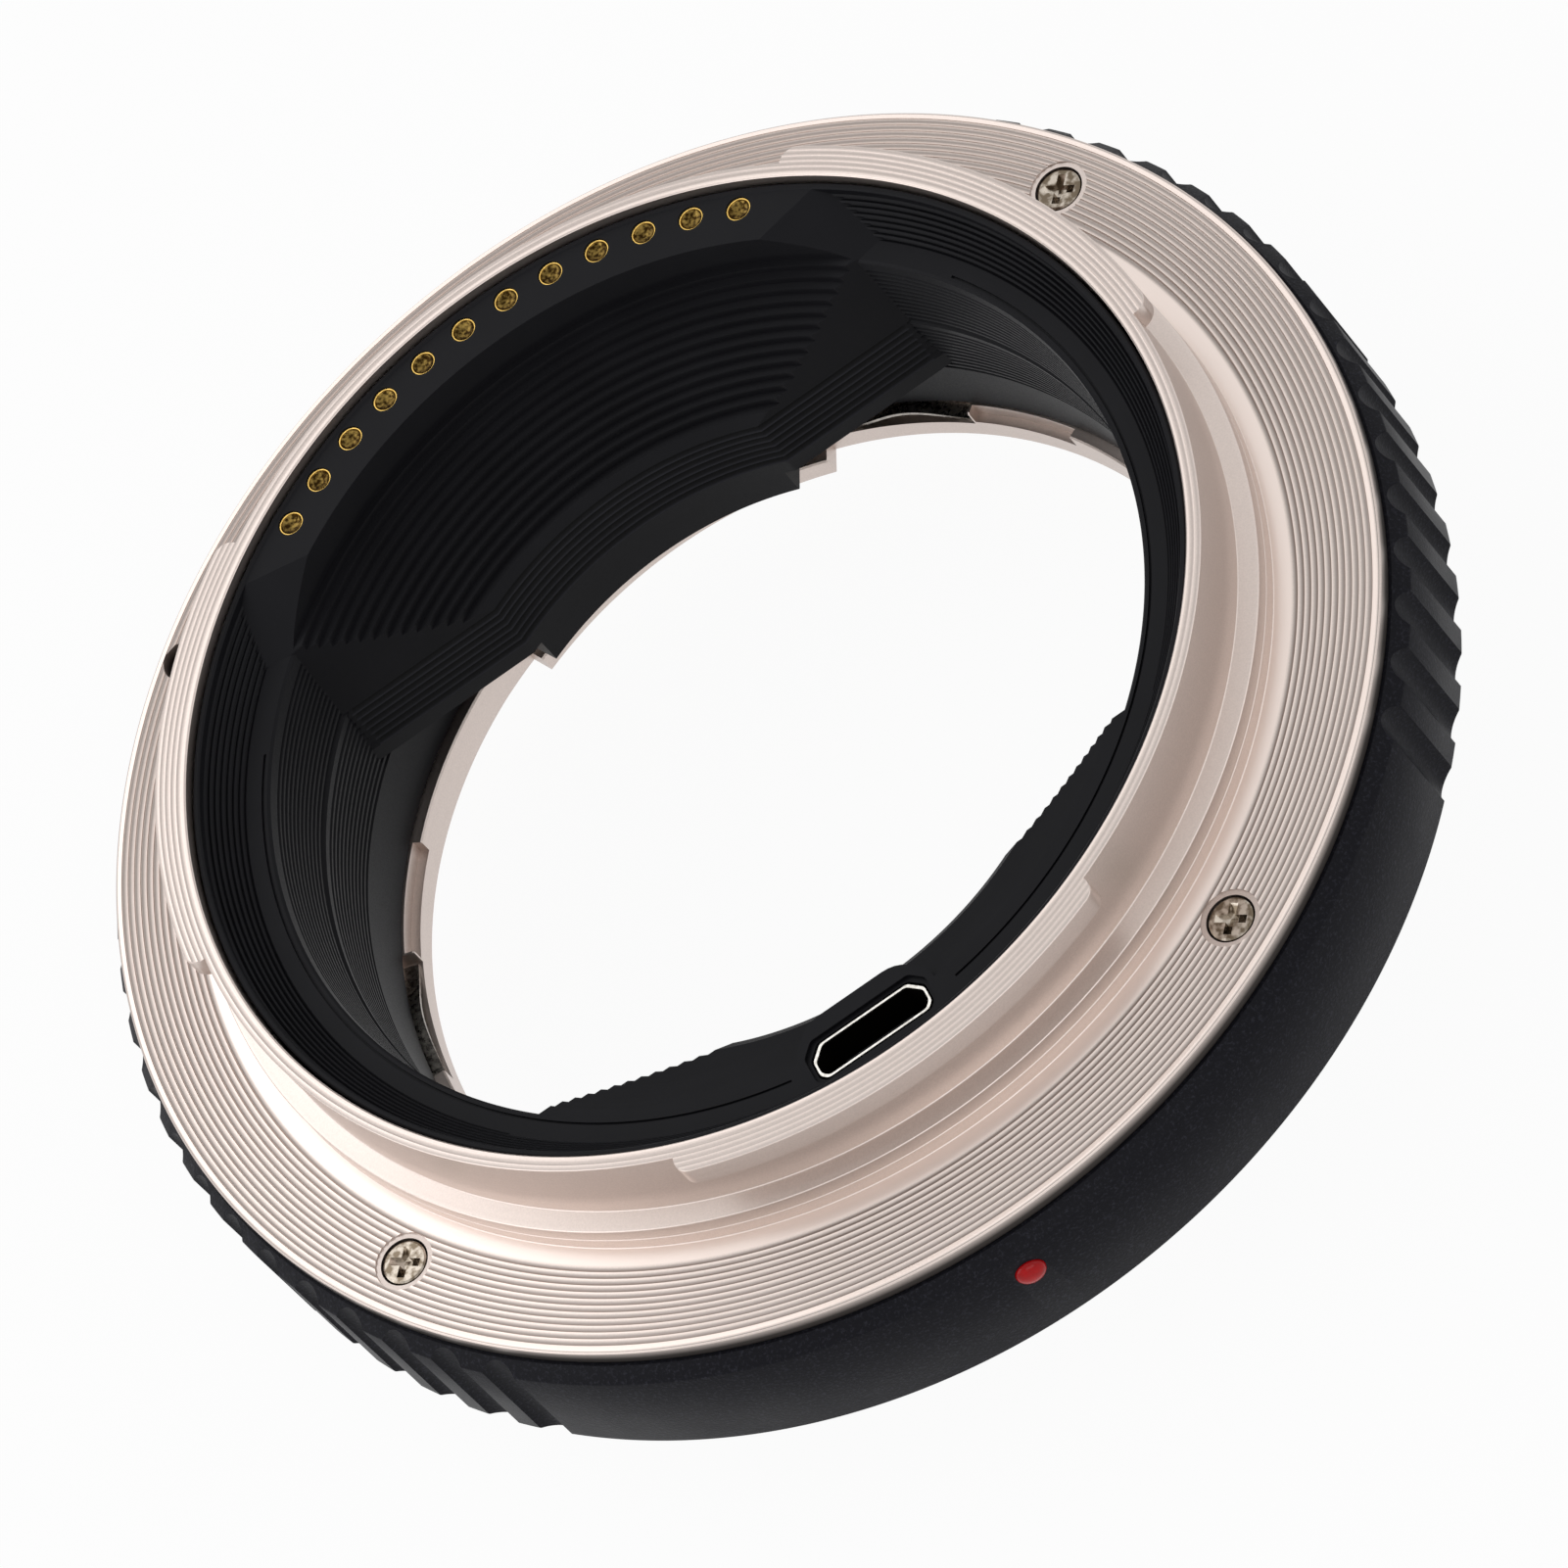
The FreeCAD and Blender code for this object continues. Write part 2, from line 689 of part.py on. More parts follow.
def rear_ribbon():
    return sector(rear_ribbon_circle - ribbon_thickness / 2, rear_ribbon_circle + ribbon_thickness / 2,
                  board_top, rear_contact_foot(), rear_contact_middle_angle, rear_ribbon_width_angle)


def front_ribbon():
    """From the board's tab down and then in to the lens side's contact block."""
    outer = front_ribbon_circle + ribbon_thickness / 2
    fall = sector(front_ribbon_circle - ribbon_thickness / 2, outer, block_foot - ribbon_thickness,
                  board_bay_floor, rear_contact_middle_angle, front_ribbon_width_angle)
    run = sector(front_block_outer, outer, block_foot - ribbon_thickness, block_foot,
                 rear_contact_middle_angle, front_ribbon_width_angle)
    return fall.fuse(run).removeSplitter()


def circuit_board():
    middle = sum(board_span_angles) / 2
    board = sector(board_inner, board_outer, board_bay_floor, board_top, middle,
                   board_span_angles[1] - board_span_angles[0])
    tab = sector(board_tab_radius, board_inner + board_clearance, board_bay_floor, board_top,
                 rear_contact_middle_angle, board_tab_width_angle)
    return board.fuse(tab).removeSplitter()


def usb_socket_shell():
    outer = upright(socket_outline(0), socket_back, socket_mouth)
    hollow = upright(socket_outline(-socket_wall), socket_back + socket_wall, socket_mouth + overrun)
    return outer.cut(hollow)


def usb_tongue():
    middle = socket_face - socket_height * tongue_place_ratio
    return Part.makeBox(2 * tongue_half_width, tongue_thickness,
                        socket_mouth - tongue_recess - socket_back - socket_wall,
                        V(socket_middle - tongue_half_width, middle - tongue_thickness / 2,
                          socket_back + socket_wall))


def socket_riser():
    """The small upright board that joins the data socket to the circuit board."""
    half = socket_half_back - riser_side_inset
    plate = Part.makeBox(2 * half, socket_face - riser_front_inset - socket_rear, riser_thickness,
                         V(socket_middle - half, socket_rear, socket_back - riser_thickness))
    leg = Part.makeBox(2 * half, riser_thickness, socket_back - board_top,
                       V(socket_middle - half, socket_rear, board_top))
    return plate.fuse(leg).removeSplitter()


def front_mount():
    outline = [
        (lead_in_radius, 0),
        (front_flange_radius - rim_chamfer, 0),
        (front_flange_radius, rim_chamfer),
        (front_flange_radius, front_flange_thickness),
        (throat_collar_radius, front_flange_thickness),
        (throat_collar_radius, throat_ring_top),
        (throat_radius, throat_ring_top),
        (throat_radius, lead_in_depth),
        (lead_in_radius, lead_in_depth),
    ]
    tabs = [sector(tab_radius, throat_radius + tab_root, lead_in_depth, lead_in_depth + tab_thickness,
                   angle, tab_width_angle) for angle in evenly(tab_first_angle, tab_count)]
    cutters = []
    for angle in notch_angles:
        cutters.append(sector(tab_radius, notch_radius, throat_ring_top - notch_depth,
                              throat_ring_top + overrun, angle, notch_width_angle))
        cutters.append(sector(tab_radius, spring_channel_radius, spring_channel_floor,
                              throat_ring_top + overrun,
                              angle + spring_start_angle + spring_span_angle / 2,
                              spring_span_angle + spring_room_angle))
    for angle in front_screw_angles():
        cutters.append(countersink(angle))
    cutters.append(rod(lock_pin_radius + pin_clearance, -overrun, front_flange_thickness + overrun,
                       lock_pin_circle, release_angle))
    return turned(outline).fuse(tabs).cut(cutters)


def countersink(angle):
    """A flat countersunk screw's form from the flange face up, with its shank."""
    outline = [(0, 0), (front_screw_head, 0), (front_screw_head, front_screw_edge),
               (front_screw_shank, front_screw_head_height), (front_screw_shank, front_screw_length),
               (0, front_screw_length)]
    screw = turned(outline)
    screw.translate(V(front_screw_circle, 0, 0))
    return turn(screw, angle)


def front_mount_screw(angle):
    slots = cross_recess(front_screw_sink, front_screw_circle, angle)
    return countersink(angle).cut([beyond(front_screw_sink, below=True), slots])


def wave_section(share, radius):
    """Section of the leaf spring, as a rectangle across the strip at a share of its length."""
    rise = spring_wave * (0.5 - 0.5 * math.cos(2 * math.pi * share))
    low = spring_channel_floor + rise
    corners = [V(radius - spring_width / 2, 0, low), V(radius + spring_width / 2, 0, low),
               V(radius + spring_width / 2, 0, low + spring_thickness),
               V(radius - spring_width / 2, 0, low + spring_thickness)]
    section = Part.makePolygon(corners + corners[:1])
    section.rotate(ORIGIN, UP, share * spring_span_angle)
    return section


def bayonet_spring(angle):
    """A leaf spring, bent up in the middle, that lies in its channel beside a notch."""
    radius = (throat_radius + spring_channel_radius) / 2
    sections = [wave_section(i / spring_step_count, radius) for i in range(spring_step_count + 1)]
    strip = Part.makeLoft(sections, True, False)
    return turn(strip, angle + spring_start_angle)


def front_contact_angles():
    return row(rear_contact_middle_angle, front_contact_pitch_angle, front_contact_count)


def front_contact_block():
    block = sector(front_block_inner, front_block_outer, front_block_foot, block_foot,
                   rear_contact_middle_angle, front_block_width_angle)
    cutters = []
    for angle in front_contact_angles():
        cutters.append(rod(front_contact_radius + contact_clearance, front_block_foot, block_foot,
                           front_contact_circle, angle))
        cutters.append(rod(front_contact_collar + contact_clearance, front_block_foot + front_shoulder,
                           block_foot, front_contact_circle, angle))
    return block.cut(cutters)


def front_contact(angle):
    """A sprung pin with a domed tip, held in the block by its collar."""
    tip = front_block_foot - front_contact_reach
    shoulder = front_block_foot + front_shoulder
    middle = tip + front_contact_radius
    pin = rod(front_contact_radius, middle, shoulder + front_collar_height, front_contact_circle, angle)
    dome = Part.makeSphere(front_contact_radius, V(front_contact_circle, 0, middle))
    collar = rod(front_contact_collar, shoulder, shoulder + front_collar_height, front_contact_circle, angle)
    return pin.fuse([turn(dome, angle), collar]).removeSplitter()


def wall_radius_at(height):
    """Radius of the housing's outside at a height: the nose, and above it the cone."""
    return nose_radius + max(0, height - nose_top)


def release_lever():
    """The thumb piece, with ridges on a face that follows the cone."""
    low = wall_radius_at(thumb_bottom) + thumb_rise
    high = wall_radius_at(thumb_top) + thumb_top_rise
    ridges = zigzag((high, thumb_top - thumb_edge), (low, thumb_bottom + thumb_edge),
                    thumb_ridge_count, -thumb_ridge_depth)
    points = [(thumb_inner, thumb_bottom), (thumb_inner, thumb_top), (high - thumb_round, thumb_top)]
    points += ridges + [(low - thumb_round, thumb_bottom)]
    corners = [V(r, -thumb_width / 2, z) for r, z in points]
    face = Part.Face(Part.makePolygon(corners + corners[:1]))
    return turn(face.extrude(V(0, thumb_width, 0)), release_angle).cut(release_arm_plate())


def release_arm_plate():
    plate = Part.makeBox(arm_outer - arm_inner, arm_width, arm_thickness,
                         V(arm_inner, -arm_width / 2, arm_bottom))
    return turn(plate, release_angle)


def release_arm():
    hole = rod(lock_pin_radius, arm_bottom - overrun, arm_top + overrun, lock_pin_circle, release_angle)
    return release_arm_plate().cut(hole)


def lock_pin():
    pin = rod(lock_pin_radius, -lock_pin_reach, lock_pin_top, lock_pin_circle, release_angle)
    ends = [e for e in pin.Edges if e.BoundBox.ZMax < 0]
    return pin.makeChamfer(lock_pin_tip, ends)


def release_spring():
    """A coil spring between the arm and the top of its well."""
    length = spring_well_top - arm_top - 2 * spring_wire
    helix = Part.makeHelix(length / spring_turn_count, length, spring_mean_radius)
    start = V(spring_mean_radius, 0, 0)
    circle = Part.Wire(Part.makeCircle(spring_wire, start, V(0, 1, 0)))
    coil = Part.Wire(helix).makePipeShell([circle], True, True)
    coil.translate(V(lock_pin_circle, 0, arm_top + spring_wire))
    return turn(coil, release_angle)


def index_bead():
    peg = index_socket(index_radius, index_depth)
    ball_radius = (index_radius ** 2 + index_dome ** 2) / (2 * index_dome)
    ball = Part.makeSphere(ball_radius, V(housing_radius + index_dome - ball_radius, 0, index_height))
    size = 2 * ball_radius
    outside = Part.makeBox(size, size, size, V(housing_radius, -ball_radius, index_height - ball_radius))
    return peg.fuse(turn(ball.common(outside), index_angle)).removeSplitter()


def front_index_dot():
    top = front_reveal + front_index_depth
    peg = rod(front_index_radius, front_reveal, top, front_index_circle, index_angle)
    ball_radius = (front_index_radius ** 2 + front_index_dome ** 2) / (2 * front_index_dome)
    ball = Part.makeSphere(ball_radius, V(front_index_circle, 0,
                                          front_reveal - front_index_dome + ball_radius))
    cap = ball.common(beyond(front_reveal, below=True))
    return peg.fuse(turn(cap, index_angle)).removeSplitter()


def all_parts():
    parts = {
        "main_housing": main_housing(),
        "rear_mount": rear_mount(),
        "inner_baffle": inner_baffle(),
        "circuit_board": circuit_board(),
        "rear_ribbon": rear_ribbon(),
        "front_ribbon": front_ribbon(),
        "usb_socket_shell": usb_socket_shell(),
        "usb_tongue": usb_tongue(),
        "socket_riser": socket_riser(),
        "front_mount": front_mount(),
        "front_contact_block": front_contact_block(),
        "release_lever": release_lever(),
        "release_arm": release_arm(),
        "lock_pin": lock_pin(),
        "release_spring": release_spring(),
        "index_bead": index_bead(),
        "front_index_dot": front_index_dot(),
    }
    for i, angle in enumerate(rear_screw_angles(), 1):
        parts[f"rear_mount_screw_{i}"] = rear_screw(angle)
    for i, angle in enumerate(front_screw_angles(), 1):
        parts[f"front_mount_screw_{i}"] = front_mount_screw(angle)
    for i, angle in enumerate(rear_contact_angles(), 1):
        parts[f"rear_contact_{i:02d}"] = rear_contact(angle)
    for i, angle in enumerate(front_contact_angles(), 1):
        parts[f"front_contact_{i}"] = front_contact(angle)
    for i, angle in enumerate(notch_angles, 1):
        parts[f"bayonet_spring_{i}"] = bayonet_spring(angle)
    return parts


os.makedirs("parts", exist_ok=True)
for name, shape in all_parts().items():
    shape.exportStep(f"parts/{name}.step")
    print(name, shape.isValid(), len(shape.Solids), round(shape.Volume, 2))
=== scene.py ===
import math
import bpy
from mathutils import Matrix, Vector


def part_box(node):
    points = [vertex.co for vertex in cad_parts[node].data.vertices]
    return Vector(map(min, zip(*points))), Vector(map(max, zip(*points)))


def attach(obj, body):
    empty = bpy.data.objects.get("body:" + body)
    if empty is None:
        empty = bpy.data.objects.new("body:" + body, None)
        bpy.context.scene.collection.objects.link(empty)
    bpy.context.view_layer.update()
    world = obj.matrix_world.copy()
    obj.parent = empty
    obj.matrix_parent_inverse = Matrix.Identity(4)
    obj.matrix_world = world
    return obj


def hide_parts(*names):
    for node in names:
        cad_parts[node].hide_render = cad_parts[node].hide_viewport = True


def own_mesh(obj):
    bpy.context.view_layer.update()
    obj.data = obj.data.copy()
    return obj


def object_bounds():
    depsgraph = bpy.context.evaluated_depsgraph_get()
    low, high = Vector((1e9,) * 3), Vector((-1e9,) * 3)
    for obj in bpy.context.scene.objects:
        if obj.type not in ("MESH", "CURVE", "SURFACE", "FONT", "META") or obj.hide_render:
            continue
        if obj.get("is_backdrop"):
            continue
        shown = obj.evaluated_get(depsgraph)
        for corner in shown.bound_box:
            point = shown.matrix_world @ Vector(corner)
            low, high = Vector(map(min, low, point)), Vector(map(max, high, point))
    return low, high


bl_info = {
    "name": "Lens mount adapter",
    "version": (1, 0, 0),
    "blender": (4, 5, 0),
    "location": "View3D > Sidebar > Adapter",
    "description": "Builds the looks of a lens mount adapter round its packed solids",
    "category": "Add Mesh",
}

import bmesh
import bpy
from bpy.props import FloatProperty, FloatVectorProperty, IntProperty, PointerProperty
from mathutils import Matrix, Vector

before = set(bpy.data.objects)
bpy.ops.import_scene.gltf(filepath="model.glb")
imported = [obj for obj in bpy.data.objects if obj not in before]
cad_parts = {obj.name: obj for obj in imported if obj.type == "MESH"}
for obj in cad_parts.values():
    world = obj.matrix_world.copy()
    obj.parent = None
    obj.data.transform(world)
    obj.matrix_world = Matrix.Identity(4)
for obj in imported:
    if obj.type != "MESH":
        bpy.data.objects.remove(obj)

# Sizes are drawn in millimetres and turned into metres when a mesh is made. Angles are in
# degrees, from +X towards +Y. An outline of a turned piece is a list of (radius, height).
MM = 0.001
HALF_TURN = 180.0
WHOLE_TURN = 360.0
AROUND = 480                  # steps round a turned surface
BODY = "adapter"
RELEASE = "lens_release"


def corner_mm(node):
    """Lowest and highest corner of a CAD node, in millimetres."""
    low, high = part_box(node)
    return low / MM, high / MM


def seat_mm(node):
    """Distance from the axis, and angle, of the middle of a small CAD node."""
    low, high = corner_mm(node)
    middle = (low + high) / 2
    angle = math.degrees(math.atan2(middle.y, middle.x)) % WHOLE_TURN
    return math.hypot(middle.x, middle.y), angle


def row_mm(nodes):
    """Circle of a row of small CAD nodes, and their number, first angle and step angle."""
    circle, first = seat_mm(nodes[0])
    return circle, (len(nodes), first, seat_mm(nodes[1])[1] - first)


def row_middle(row):
    """Angle of the middle of a row."""
    count, first, step = row
    return first + step * (count - 1) / 2


# Rows of like nodes
REAR_SCREWS = [f"rear_mount_screw_{i}" for i in range(1, 5)]
FRONT_SCREWS = [f"front_mount_screw_{i}" for i in range(1, 5)]
REAR_CONTACTS = [f"rear_contact_{i:02d}" for i in range(1, 13)]
FRONT_CONTACTS = [f"front_contact_{i}" for i in range(1, 9)]

# Sizes read from the solids
HOUSING_LOW, HOUSING_HIGH = corner_mm("main_housing")
PLATE_LOW, PLATE_HIGH = corner_mm("rear_mount")
BAFFLE_LOW, BAFFLE_HIGH = corner_mm("inner_baffle")
BOARD_LOW, BOARD_HIGH = corner_mm("circuit_board")
LENS_PLATE_HIGH = corner_mm("front_mount")[1]
SHELL_LOW, SHELL_HIGH = corner_mm("usb_socket_shell")
LEVER_LOW, LEVER_HIGH = corner_mm("release_lever")
ARM_LOW, ARM_HIGH = corner_mm("release_arm")
PIN_LOW, PIN_HIGH = corner_mm("lock_pin")
COIL_LOW, COIL_HIGH = corner_mm("release_spring")
BEAD_LOW, BEAD_HIGH = corner_mm("index_bead")
PAD_LOW, PAD_HIGH = corner_mm(REAR_CONTACTS[0])
WALL = -HOUSING_LOW.y         # the bare panel round the index mark lies at -Y
HOUSING_TOP = HOUSING_HIGH.z
HOUSING_FOOT = HOUSING_LOW.z
FLANGE_RADIUS = PLATE_HIGH.x
RIM_TOP = PLATE_HIGH.z
BAFFLE_RADIUS = BAFFLE_HIGH.x
REAR_CIRCLE, REAR_ROW = row_mm(REAR_SCREWS)
FRONT_CIRCLE, FRONT_ROW = row_mm(FRONT_SCREWS)
PAD_CIRCLE, PAD_ROW = row_mm(REAR_CONTACTS)
TIP_CIRCLE, TIP_ROW = row_mm(FRONT_CONTACTS)
PIN_CIRCLE, RELEASE_ANGLE = seat_mm("lock_pin")
DOT_CIRCLE, INDEX_ANGLE = seat_mm("front_index_dot")

# Sizes that several pieces share
EDGE = 0.1                    # broken edges
PAST = 1.0                    # cutters run this far past the faces they open
LENS_FLANGE = 2.6
THROAT = 27.0
SKIRT = 28.8

# Sizes of the housing
FACE = HOUSING_TOP + 1.3      # flange face of the camera side
BEVEL = 0.83
BORE = 29.0
BAY = 33.3                    # bore over the circuit board
RECESS = 32.7                 # seat of the lens side's bayonet
NOSE = 35.1
NOSE_CHAMFER = 0.5
NOSE_TOP = 1.75
RING_FOOT = 7.75              # where the wide ring ends
FLUTE_FOOT = 6.2
PANEL = (223.8, 319.9)        # bare stretch of the wall round the index mark
LEVER_GAP = (125.5, 144.5)    # bare stretch over the release lever
REAR_HOLE_FOOT = 11.4
FRONT_HOLE_FOOT = 2.0

# Sizes of the camera side's bayonet
REAR_BORE = 31.5
SPIGOT = 33.2
BARREL = 32.42
BARREL_FOOT_RISE = 0.25       # slant from the shoulder's top up to the barrel
SHOULDER = 33.6
SHOULDER_TOP = FACE + 2.07
SHOULDER_LINE = FACE + 1.0    # a fine line turned in the shoulder
FINE_EDGE = 0.05
RINGS_OUTER = FLANGE_RADIUS - 0.45
LUG_RADIUS = 33.5
LUG_ROOT = 31.9
LUG_THICKNESS = 1.63
LUG_WIDTH = 50.5
LUG_END = 1.0
LUG_CENTRES = (28.0, 152.0, 269.7)
RIM_RINGS_OUTER = LUG_RADIUS + 0.4
RIM_SKIM = 0.004
RIM_RING_COUNT = 6
RIM_RING_PITCH = 0.36
RIM_RING_DEPTH = 0.05
SPOT_FACE = (1.8, 0.15)       # radius and depth
LOCK_HOLE = (38.35, 1.3, 0.9) # circle, radius and depth
LOCK_HOLE_ANGLE = 134.5

# Sizes of the screws
HEAD_RADIUS = 1.4
HEAD_HEIGHT = 0.7
HEAD_SINK = 0.15
# Points of the head's rounded edge, in from its side and down from its face
HEAD_ROUND = ((0.0, 0.16), (0.05, 0.06), (0.16, 0.0))
HEAD_PLAY = 0.09
SHANK = 0.8
REAR_SCREW_DEPTH = 4.6        # from the housing's top down to the screws' ends
FRONT_SHANK = 0.75
FRONT_HEAD = 1.2
FRONT_SINK = 0.1
FRONT_CONE = (0.15, 1.0)      # start and end of the head's cone
FRONT_END = 5.4
CROSS_HALF = 0.25             # half the width of a recess's arm
# Points of an arm of the recess, from its end to its middle: reach and height
CROSS_ARM = ((0.98, PAST), (0.98, 0.0), (0.8, -0.2), (0.22, -0.52))
CROSS_ANGLES = (20.0, 110.0)

# Sizes of the light baffle
LEDGE = 21.8
LEDGE_INNER = 27.6
LEDGE_OUTER = 29.1
LEDGE_ROUND = 0.15
LEDGE_LINE = (27.95, 0.16, 0.15)                      # a fine line: radius, width and depth
LEDGE_LINE_RUNS = ((150.0, 106.5), (279.0, 111.0))    # first angle and sweep
LOWER_EDGE = 15.6
RIM_WALL = 0.4
COLLAR_DEPTH = 0.2
# Grooved stretches of the wall: start, end and number of grooves
COLLAR = ((BAFFLE_RADIUS - RIM_WALL, LEDGE + 1.9), (LEDGE_OUTER, LEDGE), 7)
UPPER_WALL = ((LEDGE_INNER - 0.05, LEDGE - 0.7), (27.15, LOWER_EDGE + 0.3), 12)
LOWER_WALL = ((27.12, LOWER_EDGE - 0.3), (27.42, 9.6), 11)
LOWER_LIP = ((27.25, LOWER_EDGE + 0.15), (27.1, LOWER_EDGE))
SKIRT_BORE = 27.7
FIELD_TOP = 22.4
FIELD_FOOT = 15.8
FIELD_SHELF = (0.55, 0.5)     # the cone ends this far out from the ribs and above them
FIELD_COUNT = 13
BLOCK_FOOT = 10.5
BLOCK_ROOT = SKIRT - 0.5
BLOCK_BACK = BAFFLE_RADIUS - 0.2
BLOCK_ARC = 20.4
BLOCK_CHORD = 18.1
RIB_FOOT = 11.6
RIB_COUNT = 7
RIB_DEPTH = 0.28
PLATFORM = 24.2
PLATFORM_INNER = 27.7
FACET_ANGLES = (54.6, 48.8)   # ends of the platform at its inner and outer edge
SIDE_LEAN = 0.16
FOOT_RISE = 0.9
RIBBON_SLOT = (0.6, 0.3, 31.5)        # in from the pads' circle, half width, half sweep
RIBBON_TAB = (26.4, 10.2, 5.5)        # inner radius, foot and half sweep
PAD_POCKET = 0.8

# Sizes of the data socket
SOCKET_X = (SHELL_LOW.x + SHELL_HIGH.x) / 2
SOCKET_FACE = SHELL_HIGH.y
SOCKET_BACK = SHELL_LOW.y
SOCKET_HALF = (SHELL_HIGH.x - SHELL_LOW.x) / 2
SOCKET_FACE_CUT = (0.8, 0.84)         # corners cut off along and across
SOCKET_BACK_CUT = (0.37, 0.4)
SOCKET_EASE = 0.2
SOCKET_LIP = 0.13
SOCKET_PLAY = 0.12
SOCKET_BEVEL = (0.34, 0.24)           # reach round the shell, and depth
SOCKET_PAD = (3.0, 4.6, 0.9)          # half widths at the front and behind, and its rounding
PAD_FRONT = SOCKET_FACE + 1.5
PAD_REAR = 0.2 - LEDGE_OUTER
RISER_HALF = 3.15
RISER_BACK = 1.75
RISER_FRONT = 0.35
STRIP = (0.16, 0.65)                  # half width and pitch of the socket's contacts
STRIP_STEPS = (-2, -1, 0, 1, 2)
STRIP_SINK = 0.02
STRIP_RISE = 0.04
STRIP_START = 0.35                    # above the tongue's foot

# Sizes of the contacts
PAD_RADIUS = 0.78
PAD_LIP = 0.1
PAD_EDGE = (0.03, 0.04)               # broken edge, inwards and down
DISH_DEPTH = 0.3
DISH_EDGE = 0.02
TIP_RADIUS = 0.6
TIP_COLLAR = (0.85, 0.5)              # radius and height
TIP_HOLE = 0.65
TIP_ROOM = (0.9, 0.8)                 # radius of the wide part, and its start above the foot
TIP_BLOCK = (20.7, THROAT - 0.6, 25.0)        # inner and outer radius, half sweep

# Sizes of the lens side's bayonet
LEAD_IN = 28.6
LEAD_IN_DEPTH = 2.0
TAB = 25.4
TAB_ROOT = THROAT + 0.3
TAB_THICKNESS = 1.4
TAB_WIDTH = 48.0
TAB_CENTRES = (90.0, 210.0, 330.0)
NOTCHES = (37.0, 151.5, 273.0)
NOTCH_WIDTH = 15.5
NOTCH_DEPTH = 1.0
NOTCH_WALL = THROAT + 0.6
CHANNEL = 28.35
CHANNEL_FLOOR = 3.4
SPRING_START = 8.5            # from the notch's middle to the leaf spring's end
SPRING_SPAN = 17.5
SPRING_ROOM = 0.5
LEAF = (27.2, 28.15, 0.22, 0.7)       # inner and outer radius, thickness, height of its wave

# Sizes of the release and of the marks
GAP = 0.15                    # play round what moves
RELEASE_TRAVEL = 2.0
LEVER_HALF = 4.5
LEVER_FLOOR = NOSE + 0.35
ARM_HALF = 1.8
ARM_END = 1.3                 # from the pin's middle to the slot's end
PIN_RADIUS = 0.95
PIN_HOLE = 1.0
PIN_TIP = 0.3
WELL = 1.6
WELL_ROOF = 1.9               # from the circuit board's bay down to the well
WIRE = 0.17
COIL_RADIUS = 1.27
COIL_TURNS = 5
BEAD_RADIUS = (BEAD_HIGH.z - BEAD_LOW.z) / 2
BEAD_HEIGHT = (BEAD_LOW.z + BEAD_HIGH.z) / 2
BEAD_RISE = 0.5
BEAD_ROOT = -1.1
DOT_RADIUS = 0.6
DOT_SEAT_TOP = 1.0
MARK_PLAY = 0.02


# Colour

def linear(code):
    """sRGB hex code to a linear colour with alpha."""
    parts = [int(code[i:i + 2], 16) / 255 for i in (1, 3, 5)]
    return [p / 12.92 if p <= 0.04045 else ((p + 0.055) / 1.055) ** 2.4 for p in parts] + [1.0]


def shaded(colour, share):
    """The same colour, darker or lighter, with alpha."""
    return [c * share for c in colour[:3]] + [1.0]


# Node helper

def add_node(tree, kind, settings=None, inputs=None):
    """Adds a node with its settings; inputs may be values or output sockets."""
    node = tree.nodes.new(kind)
    for key, value in (settings or {}).items():
        setattr(node, key, value)
    for key, value in (inputs or {}).items():
        if isinstance(value, bpy.types.NodeSocket):
            tree.links.new(value, node.inputs[key])
        else:
            node.inputs[key].default_value = value
    return node


# Patterns

MID_NOISE = (0.3, 0.7)        # nearly all values of a noise lie in this span
CORE_NOISE = (0.35, 0.65)
WHOLE_SHARE = (0.0, 1.0)


def empty_tree(owner):
    """The cleared node tree of a material or a world."""
    owner.use_nodes = True
    owner.node_tree.nodes.clear()
    return owner.node_tree


def new_material(name, inputs):
    """A material with one Principled shader and the named inputs set on it."""
    made = bpy.data.materials.new(name)
    tree = empty_tree(made)
    shader = add_node(tree, "ShaderNodeBsdfPrincipled", inputs=inputs)
    add_node(tree, "ShaderNodeOutputMaterial", inputs={"Surface": shader.outputs[0]})
    return made, tree, shader


def grain(tree, size_mm, detail=2.0, roughness=0.5):
    """Noise whose blobs are about size_mm across, on Object coordinates."""
    where = add_node(tree, "ShaderNodeTexCoord")
    noise = add_node(tree, "ShaderNodeTexNoise",
                     inputs={"Vector": where.outputs["Object"], "Scale": 1 / (size_mm * MM),
                             "Detail": detail, "Roughness": roughness})
    return noise.outputs[0]


def radius_and_height(tree):
    """Distance from the optical axis and height, as two sockets, in metres."""
    where = add_node(tree, "ShaderNodeTexCoord")
    split = add_node(tree, "ShaderNodeSeparateXYZ", inputs={0: where.outputs["Object"]})
    flat = add_node(tree, "ShaderNodeCombineXYZ",
                    inputs={0: split.outputs[0], 1: split.outputs[1]})
    length = add_node(tree, "ShaderNodeVectorMath", {"operation": "LENGTH"}, {0: flat.outputs[0]})
    return length.outputs["Value"], split.outputs[2]


def tool_marks(tree, pitch_mm):
    """Fine uneven rings left by a turning tool, from the distance to the axis and the height."""
    radius, height = radius_and_height(tree)
    along = add_node(tree, "ShaderNodeMath", {"operation": "ADD"}, {0: radius, 1: height})
    where = add_node(tree, "ShaderNodeCombineXYZ", inputs={0: along.outputs[0]})
    noise = add_node(tree, "ShaderNodeTexNoise",
                     inputs={"Vector": where.outputs[0], "Scale": 1 / (pitch_mm * MM),
                             "Detail": 3.0})
    return noise.outputs[0]


def within(tree, value, low_mm, high_mm):
    """1 where a radius or a height lies between two sizes, else 0."""
    middle = (low_mm + high_mm) / 2
    inside = add_node(tree, "ShaderNodeMath", {"operation": "COMPARE"},
                      {0: value, 1: middle * MM, 2: (high_mm - middle) * MM})
    return inside.outputs[0]


